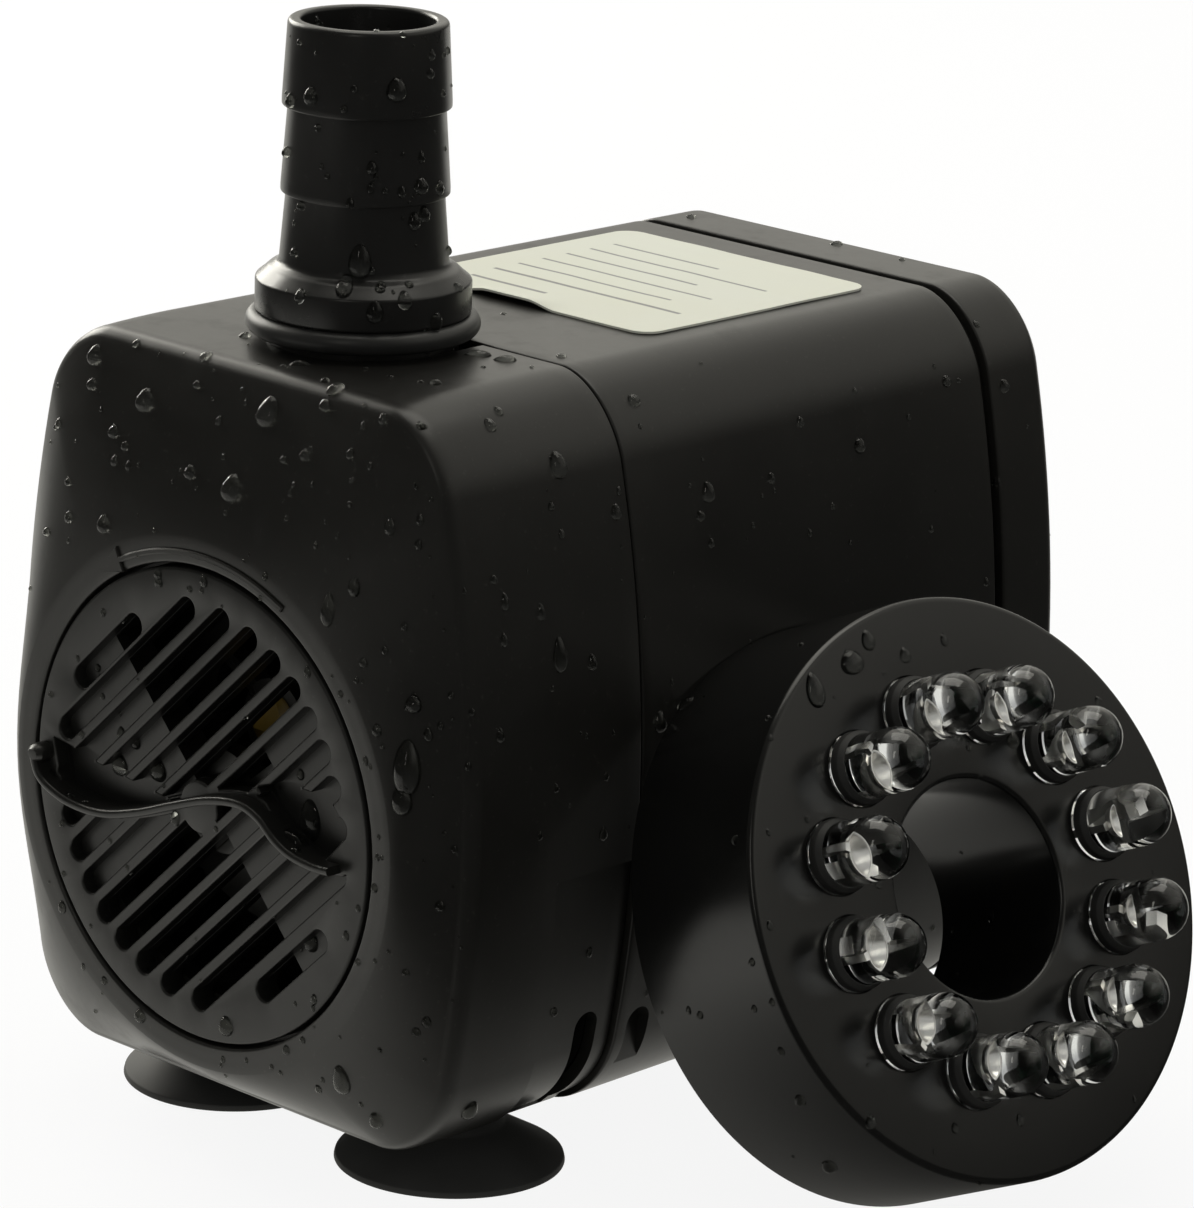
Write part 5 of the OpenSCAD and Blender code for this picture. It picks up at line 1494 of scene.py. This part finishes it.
# Large beads: across and down in the frame in pixels, then width, length and height in millimetres
LARGE_BEADS = (
    (145, 400, 1.67, 2.1, 0.68), (232, 488, 1.96, 2.38, 0.81), (268, 412, 2.17, 2.66, 0.68),
    (95, 355, 1.45, 1.82, 0.54), (92, 384, 0.87, 1.12, 0.41), (190, 472, 1.09, 1.26, 0.47),
    (325, 405, 1.01, 1.12, 0.41), (305, 455, 0.87, 1.05, 0.41), (558, 465, 1.59, 2.24, 0.68),
    (490, 425, 1.01, 1.26, 0.41), (478, 355, 1.3, 2.1, 0.41), (505, 360, 1.16, 1.82, 0.41),
    (328, 610, 1.23, 2.66, 0.54), (390, 527, 0.94, 1.4, 0.41), (420, 520, 0.65, 0.98, 0.34),
    (560, 655, 1.45, 2.8, 0.54), (592, 662, 0.87, 1.4, 0.41), (505, 602, 0.8, 1.4, 0.34),
    (504, 640, 0.72, 1.12, 0.34), (541, 612, 0.72, 1.4, 0.34), (708, 492, 1.3, 1.82, 0.54),
    (616, 512, 1.01, 1.4, 0.41), (660, 722, 1.3, 1.82, 0.54), (800, 422, 0.8, 0.98, 0.34),
    (771, 478, 0.72, 0.98, 0.34), (1004, 386, 1.09, 1.26, 0.41), (996, 482, 0.87, 0.98, 0.34),
    (986, 582, 0.72, 0.84, 0.27), (407, 768, 2.17, 4.34, 0.94), (402, 800, 1.59, 2.52, 0.68),
    (428, 735, 0.72, 1.12, 0.34), (311, 942, 1.45, 1.68, 0.54), (226, 1026, 1.45, 1.68, 0.54),
    (341, 1080, 1.59, 2.66, 0.54), (376, 1120, 1.16, 1.54, 0.54), (554, 1012, 0.65, 0.84, 0.27),
    (440, 906, 0.8, 0.98, 0.34), (416, 1032, 0.72, 0.84, 0.34), (286, 1050, 0.72, 0.84, 0.27),
    (500, 735, 0.72, 1.26, 0.34), (397, 90, 1.67, 1.96, 0.68), (311, 96, 1.3, 1.54, 0.54),
    (372, 168, 0.87, 1.12, 0.41), (421, 186, 1.3, 1.4, 0.54), (424, 214, 1.01, 1.4, 0.47),
    (301, 206, 0.72, 0.84, 0.34), (350, 203, 0.65, 0.84, 0.27), (402, 192, 0.72, 0.98, 0.34),
    (287, 152, 0.8, 0.98, 0.41), (318, 128, 0.58, 0.7, 0.27), (360, 262, 1.74, 2.8, 0.54),
    (345, 285, 1.3, 2.52, 0.41), (405, 300, 1.16, 1.54, 0.47), (436, 322, 1.16, 1.54, 0.47),
    (300, 296, 0.87, 1.26, 0.41), (375, 312, 1.3, 1.82, 0.47), (815, 690, 1.74, 2.8, 0.61),
    (852, 662, 2.32, 1.96, 0.61), (868, 640, 1.3, 1.68, 0.41), (770, 925, 0.65, 0.84, 0.27),
    (800, 1100, 0.94, 1.12, 0.41), (871, 1122, 0.94, 1.12, 0.41), (752, 962, 0.58, 0.7, 0.27),
    (772, 1002, 0.51, 0.7, 0.27), (842, 742, 0.87, 1.68, 0.34), (905, 655, 1.01, 1.26, 0.41),
    (955, 1128, 0.72, 0.84, 0.27), (1020, 1120, 0.72, 0.98, 0.27), (735, 840, 0.65, 0.84, 0.27),
    (700, 1015, 0.58, 0.7, 0.27), (1098, 700, 0.58, 0.7, 0.27), (310, 820, 2.32, 3.36, 0.54),
    (296, 838, 1.74, 2.52, 0.54), (120, 765, 1.74, 1.82, 0.47), (158, 770, 1.89, 1.96, 0.47),
    (136, 742, 1.01, 1.26, 0.41), (98, 668, 0.58, 0.7, 0.27), (212, 640, 0.58, 0.7, 0.27),
    (470, 1110, 1.45, 1.82, 0.54), (522, 1128, 1.59, 1.96, 0.68),
)


def bead_mesh(steps, rows):
    """A bead one across from its middle, fuller towards its lower end."""
    edge_sin, edge_cos = math.sin(BEAD_EDGE), math.cos(BEAD_EDGE)
    top = [(math.sin(t) / edge_sin, (math.cos(t) - edge_cos) / (1 - edge_cos))
           for t in np.linspace(BEAD_EDGE, 0, rows + 1)]
    shape = Shape()

    def pull(p):
        return np.c_[p[:, 0], p[:, 1] * (1 + 0.2 * p[:, 0]), p[:, 2] * np.where(p[:, 2] > 0, 1 + 0.28 * p[:, 0], 1)]

    shape.turn([(0, -0.2), (0.97, -0.2)] + top[:-1] + [(0, top[-1][1])], pull, steps)
    return shape.mesh("bead")


# Parts of the frame for small beads: share of the draws up to here, then the ends across and down
SEEN_PARTS = ((0.42, (15, 470), (330, 1110)), (0.58, (270, 480), (20, 380)), (0.74, (480, 1190), (380, 1190)))
BEAD_EDGE = math.radians(66)


class Skins:
    """The wet and dry surfaces, for finding where a ray lands."""

    def __init__(self):
        self.trees = {}
        for name in list(WET_SKINS) + list(DRY_SKINS):
            mesh = bpy.data.objects[name].data
            self.trees[name] = BVHTree.FromPolygons([v.co for v in mesh.vertices], [f.vertices for f in mesh.polygons])

    def land(self, eye, way):
        best = None
        for name, tree in self.trees.items():
            place, out, _, far = tree.ray_cast(eye, way)
            if place is not None and (best is None or far < best[2]):
                best = (place, out if out.dot(way) < 0 else -out, far, name)
        return best

    def rest(self, place, out, name, radius):
        """Where the skin is nearly flat over a bead's width, its mean direction."""
        side = out.orthogonal().normalized()
        mean = out.copy()
        for way in (side, -side, out.cross(side), -out.cross(side)):
            hit, normal, _, far = self.trees[name].ray_cast(place + way * radius + out * radius, -out)
            if hit is None or abs(far - radius) > radius * 0.6:
                return None
            mean += normal if normal.dot(out) > 0 else -normal
        mean.normalize()
        return mean if mean.dot(out) > 0.9 else None


class PUMP_OT_water(PumpOperator):
    """Lays beads of water on the casing, nozzle, dial and light ring"""

    bl_idname = "pump.water"
    bl_label = "Water Beads"

    def build(self, scene, g):
        camera, water = scene.camera, g.water
        eye, turn = camera.matrix_world.translation.copy(), camera.matrix_world.to_3x3()
        focal = camera.data.lens / camera.data.sensor_width * max(IMAGE_W, IMAGE_H)
        skins = Skins()
        large, small = {}, {}

        def look(u, v):
            return (turn @ Vector(((u - IMAGE_W / 2) / focal, (IMAGE_H / 2 - v) / focal, -1))).normalized()

        def lay(store, landed, width, long, high, strict):
            if landed is None or landed[3] not in WET_SKINS:
                return False
            place, out, _, name = landed
            mean = skins.rest(place, out, name, width * MM / 2)
            if mean is None and strict:
                return False
            out = mean or out
            down = Vector((0, 0, -1)) - out * -out.z
            down = down.normalized() if down.length > 0.05 else out.orthogonal().normalized()
            size = Vector((long / 2, width / 2, high)) * MM
            store.setdefault(WET_SKINS[name], []).append((place, out, down, size))
            return True

        for u, v, width, long, high in LARGE_BEADS:
            lay(large, skins.land(eye, look(u, v)), width, long, high, False)
        draw = np.random.default_rng(water.seed)
        laid = 0
        for _ in range(water.small_beads * 6):
            if laid >= water.small_beads:
                break
            pick = draw.random()
            part = next((part for part in SEEN_PARTS if pick < part[0]), None)
            if part:
                origin, way = eye, look(draw.uniform(*part[1]), draw.uniform(*part[2]))
            else:
                around, up = draw.uniform(0, 2 * math.pi), draw.uniform(0.0, 0.9)
                origin = Vector((math.cos(around), math.sin(around), up)) * 0.4
                target = Vector((draw.uniform(-0.02, 0.02), draw.uniform(-0.01, 0.05), draw.uniform(0.01, 0.065)))
                way = (target - origin).normalized()
            width = float(np.clip(draw.lognormal(-0.75, 0.45), 0.25, 1.3))
            long = width * draw.uniform(1.0, 1.45)
            laid += lay(small, skins.land(origin, way), width, long, width * draw.uniform(0.28, 0.42), True)
        tree = bead_tree()
        fine, coarse = (self.bead(*detail) for detail in ((28, 7), (12, 3)))
        for body in dict.fromkeys(WET_SKINS.values()):
            meshes = [grown("beads", self.points(store[body]), tree, Bead=bead, Finish=finishes["water"])
                      for store, bead in ((large, fine), (small, coarse)) if body in store]
            if meshes:
                name = f"water_on_{body}"
                finish_mesh(name, join_meshes(name, meshes), "water", body, "clear_epoxy", sharp=60)
        for bead in (fine, coarse):
            bpy.data.objects.remove(bead)

    def bead(self, steps, rows):
        mesh = bead_mesh(steps, rows)
        mesh.polygons.foreach_set("use_smooth", [True] * len(mesh.polygons))
        mesh.transform(Matrix.Scale(1 / MM, 4))
        return linked("bead", mesh)

    def points(self, beads):
        mesh = bpy.data.meshes.new("bead_points")
        places, *columns = zip(*beads)
        mesh.from_pydata(places, [], [])
        for name, values in zip(BEAD_COLUMNS, columns):
            values = np.array([tuple(v) for v in values], np.float32)
            mesh.attributes.new(name, "FLOAT_VECTOR", "POINT").data.foreach_set("vector", values.ravel())
        return mesh


FLOOR_HALF = 6.0
LAMP_TINT = (1, 0.975, 0.89)
# Each lamp's name, place, target, width, depth and power, in metres and watts
LAMPS = (
    ("left_softbox", (-0.78, 0.16, 0.36), (0.0, 0.01, 0.03), 0.5, 0.4, 4.2),
    ("top_softbox", (-0.1, 0.2, 0.9), (0.0, 0.02, 0.03), 0.7, 0.6, 2.5),
    ("front_strip", (0.35, -0.75, 0.55), (0.02, 0.0, 0.04), 0.1, 0.4, 0.3),
    ("sparkle", (-0.72, 0.0, 0.5), (0.0, 0.0, 0.04), 0.03, 0.03, 0.32),
)
BLACK, WHITE = (0, 0, 0, 1), (1, 1, 1, 1)
# How much of the white background is seen through clear pieces
THROUGH_CLEAR = 0.4
CAMERA_PLACE = (0.311872, -0.302252, 0.168321)
CAMERA_AZIMUTH, CAMERA_ELEVATION, CAMERA_ROLL = (math.radians(a) for a in (43.433, 16.131, 1.829))


class PUMP_OT_stage(PumpOperator):
    """Sets the pale floor, the soft studio light and the camera at the photograph's angle"""

    bl_idname = "pump.stage"
    bl_label = "Stage"

    def build(self, scene, g):
        w = FLOOR_HALF
        mesh = bpy.data.meshes.new("floor")
        mesh.from_pydata([(-w, -w, 0), (w, -w, 0), (w, w, 0), (-w, w, 0)], [], [(0, 1, 2, 3)])
        mesh.materials.append(self.floor_finish())
        linked("floor", mesh)
        self.world(scene)
        for lamp in LAMPS:
            self.lamp(*lamp)
        self.camera(scene)
        scene.view_settings.view_transform = "Standard"

    def floor_finish(self):
        """A plain floor that keeps the shadow: nearly white when seen, and a painted reflection when mirrored, glowing
        in patches near the pump.
        """
        f = Finish("pale floor", Roughness=0.6)
        f.set(Base_Color=f.blend(f.noise(8, 3), (0.9, 0.9, 0.9, 1), (0.94, 0.94, 0.94, 1)))
        x, y, _ = f.axes(f.place)
        camera, mirrored, clear = f.rays("Is Camera Ray", "Is Glossy Ray", "Is Transmission Ray")
        # Patches near the pump where the floor's painted reflection glows
        near = (x * x + y * y).below(0.05, 0.045) * x.below(0.028, 0.03)
        near = near.most(y.above(0.0, 0.06) * x.below(-0.03, 0.06))

        def glow(tint):
            return f.first("ShaderNodeEmission", inputs={"Color": tint, "Strength": 1.0})

        # Painted reflection: mirrored rays see the floor glow, bright near the pump and black beyond
        painted_reflection = glow(f.blend(near * 0.86 + 0.04, BLACK, (1, 0.985, 0.91, 1)))
        both = f.mixed(camera.most(clear * THROUGH_CLEAR) * 0.9, f.shader.outputs[0], glow(WHITE))
        f.tree.links.new(f.mixed(mirrored, both, painted_reflection), f.out.inputs["Surface"])
        return f.material

    def world(self, scene):
        """White for the camera, dim for the light all round, and a soft studio in what is mirrored."""
        scene.world = bpy.data.worlds.new("studio")
        scene.world.use_nodes = True
        g = Graph(scene.world.node_tree)
        g.tree.nodes.clear()
        x, y, z = g.axes(g.node("ShaderNodeTexCoord").outputs["Generated"])
        camera, mirrored, clear = g.rays("Is Camera Ray", "Is Glossy Ray", "Is Transmission Ray")
        behind, over, left = y.above(0.05, 0.4), z.above(0.28, 0.24), x.below(-0.35, 0.35)
        studio = 0.045 + over * behind * 0.6 + behind * left * z.above(0.05, 0.3) * 0.9 + 0.03 * over

        def backdrop(tint, strength=1.0):
            return g.first("ShaderNodeBackground", inputs={"Color": tint, "Strength": strength})

        room = backdrop(g.blend(studio, BLACK, (1, 0.975, 0.88, 1)))
        both = g.mixed(mirrored, backdrop((1, 1, 0.97, 1), 0.4), room)
        both = g.mixed(camera.most(clear * THROUGH_CLEAR), both, backdrop(WHITE))
        g.node("ShaderNodeOutputWorld", inputs={"Surface": both})

    def lamp(self, name, place, target, width, depth, power):
        data = bpy.data.lights.new(name, "AREA")
        data.shape, data.size, data.size_y, data.energy, data.color = "RECTANGLE", width, depth, power, LAMP_TINT
        lamp = linked(name, data)
        lamp.location = place
        lamp.rotation_euler = (Vector(target) - Vector(place)).to_track_quat("-Z", "Y").to_euler()

    def camera(self, scene):
        """The photograph's camera, in the frame of the model."""
        a, e, roll = CAMERA_AZIMUTH, CAMERA_ELEVATION, CAMERA_ROLL
        right = Vector((math.cos(a), math.sin(a), 0))
        back = Vector((math.sin(a) * math.cos(e), -math.cos(a) * math.cos(e), math.sin(e)))
        up = back.cross(right)
        across, above = math.cos(roll) * right + math.sin(roll) * up, -math.sin(roll) * right + math.cos(roll) * up
        data = bpy.data.cameras.new("camera")
        data.sensor_width = SENSOR_MM
        data.lens = FOCAL_PIXELS / max(IMAGE_W, IMAGE_H) * SENSOR_MM
        data.clip_start, data.clip_end = 0.01, 50
        scene.camera = linked("camera", data)
        turn = Matrix((across, above, back)).transposed().to_4x4()
        scene.camera.matrix_world = Matrix.Translation(CAMERA_PLACE) @ turn


class PUMP_PT_panel(bpy.types.Panel):
    bl_label = "Fountain Pump"
    bl_idname = "PUMP_PT_panel"
    bl_space_type = "VIEW_3D"
    bl_region_type = "UI"
    bl_category = "Fountain Pump"

    def draw(self, context):
        for step in STEPS:
            self.layout.operator(step.bl_idname)


GROUPS = (("pump_casing", CasingSizes), ("pump_dial", DialSizes), ("pump_nozzle", NozzleSizes), ("pump_cups", CupSizes),
          ("pump_ring", RingSizes), ("pump_water", WaterSettings), ("pump_colours", FinishColours))
STEPS = (PUMP_OT_stage, PUMP_OT_front_shell, PUMP_OT_flow_dial, PUMP_OT_motor_housing, PUMP_OT_rear_cover,
         PUMP_OT_nozzle, PUMP_OT_label, PUMP_OT_cups, PUMP_OT_light_ring, PUMP_OT_lamps, PUMP_OT_inside,
         PUMP_OT_water)


def register():
    for name, group in GROUPS:
        bpy.utils.register_class(group)
        setattr(bpy.types.Scene, name, bpy.props.PointerProperty(type=group))
    for item in STEPS + (PUMP_PT_panel,):
        bpy.utils.register_class(item)


def unregister():
    for item in (PUMP_PT_panel,) + STEPS[::-1]:
        bpy.utils.unregister_class(item)
    for name, group in GROUPS[::-1]:
        delattr(bpy.types.Scene, name)
        bpy.utils.unregister_class(group)


def main():
    register()
    make_finishes(in_mm(bpy.context.scene.pump_colours))
    for step in STEPS:
        group, name = step.bl_idname.split(".")
        getattr(getattr(bpy.ops, group), name)()


if __name__ == "__main__":
    main()
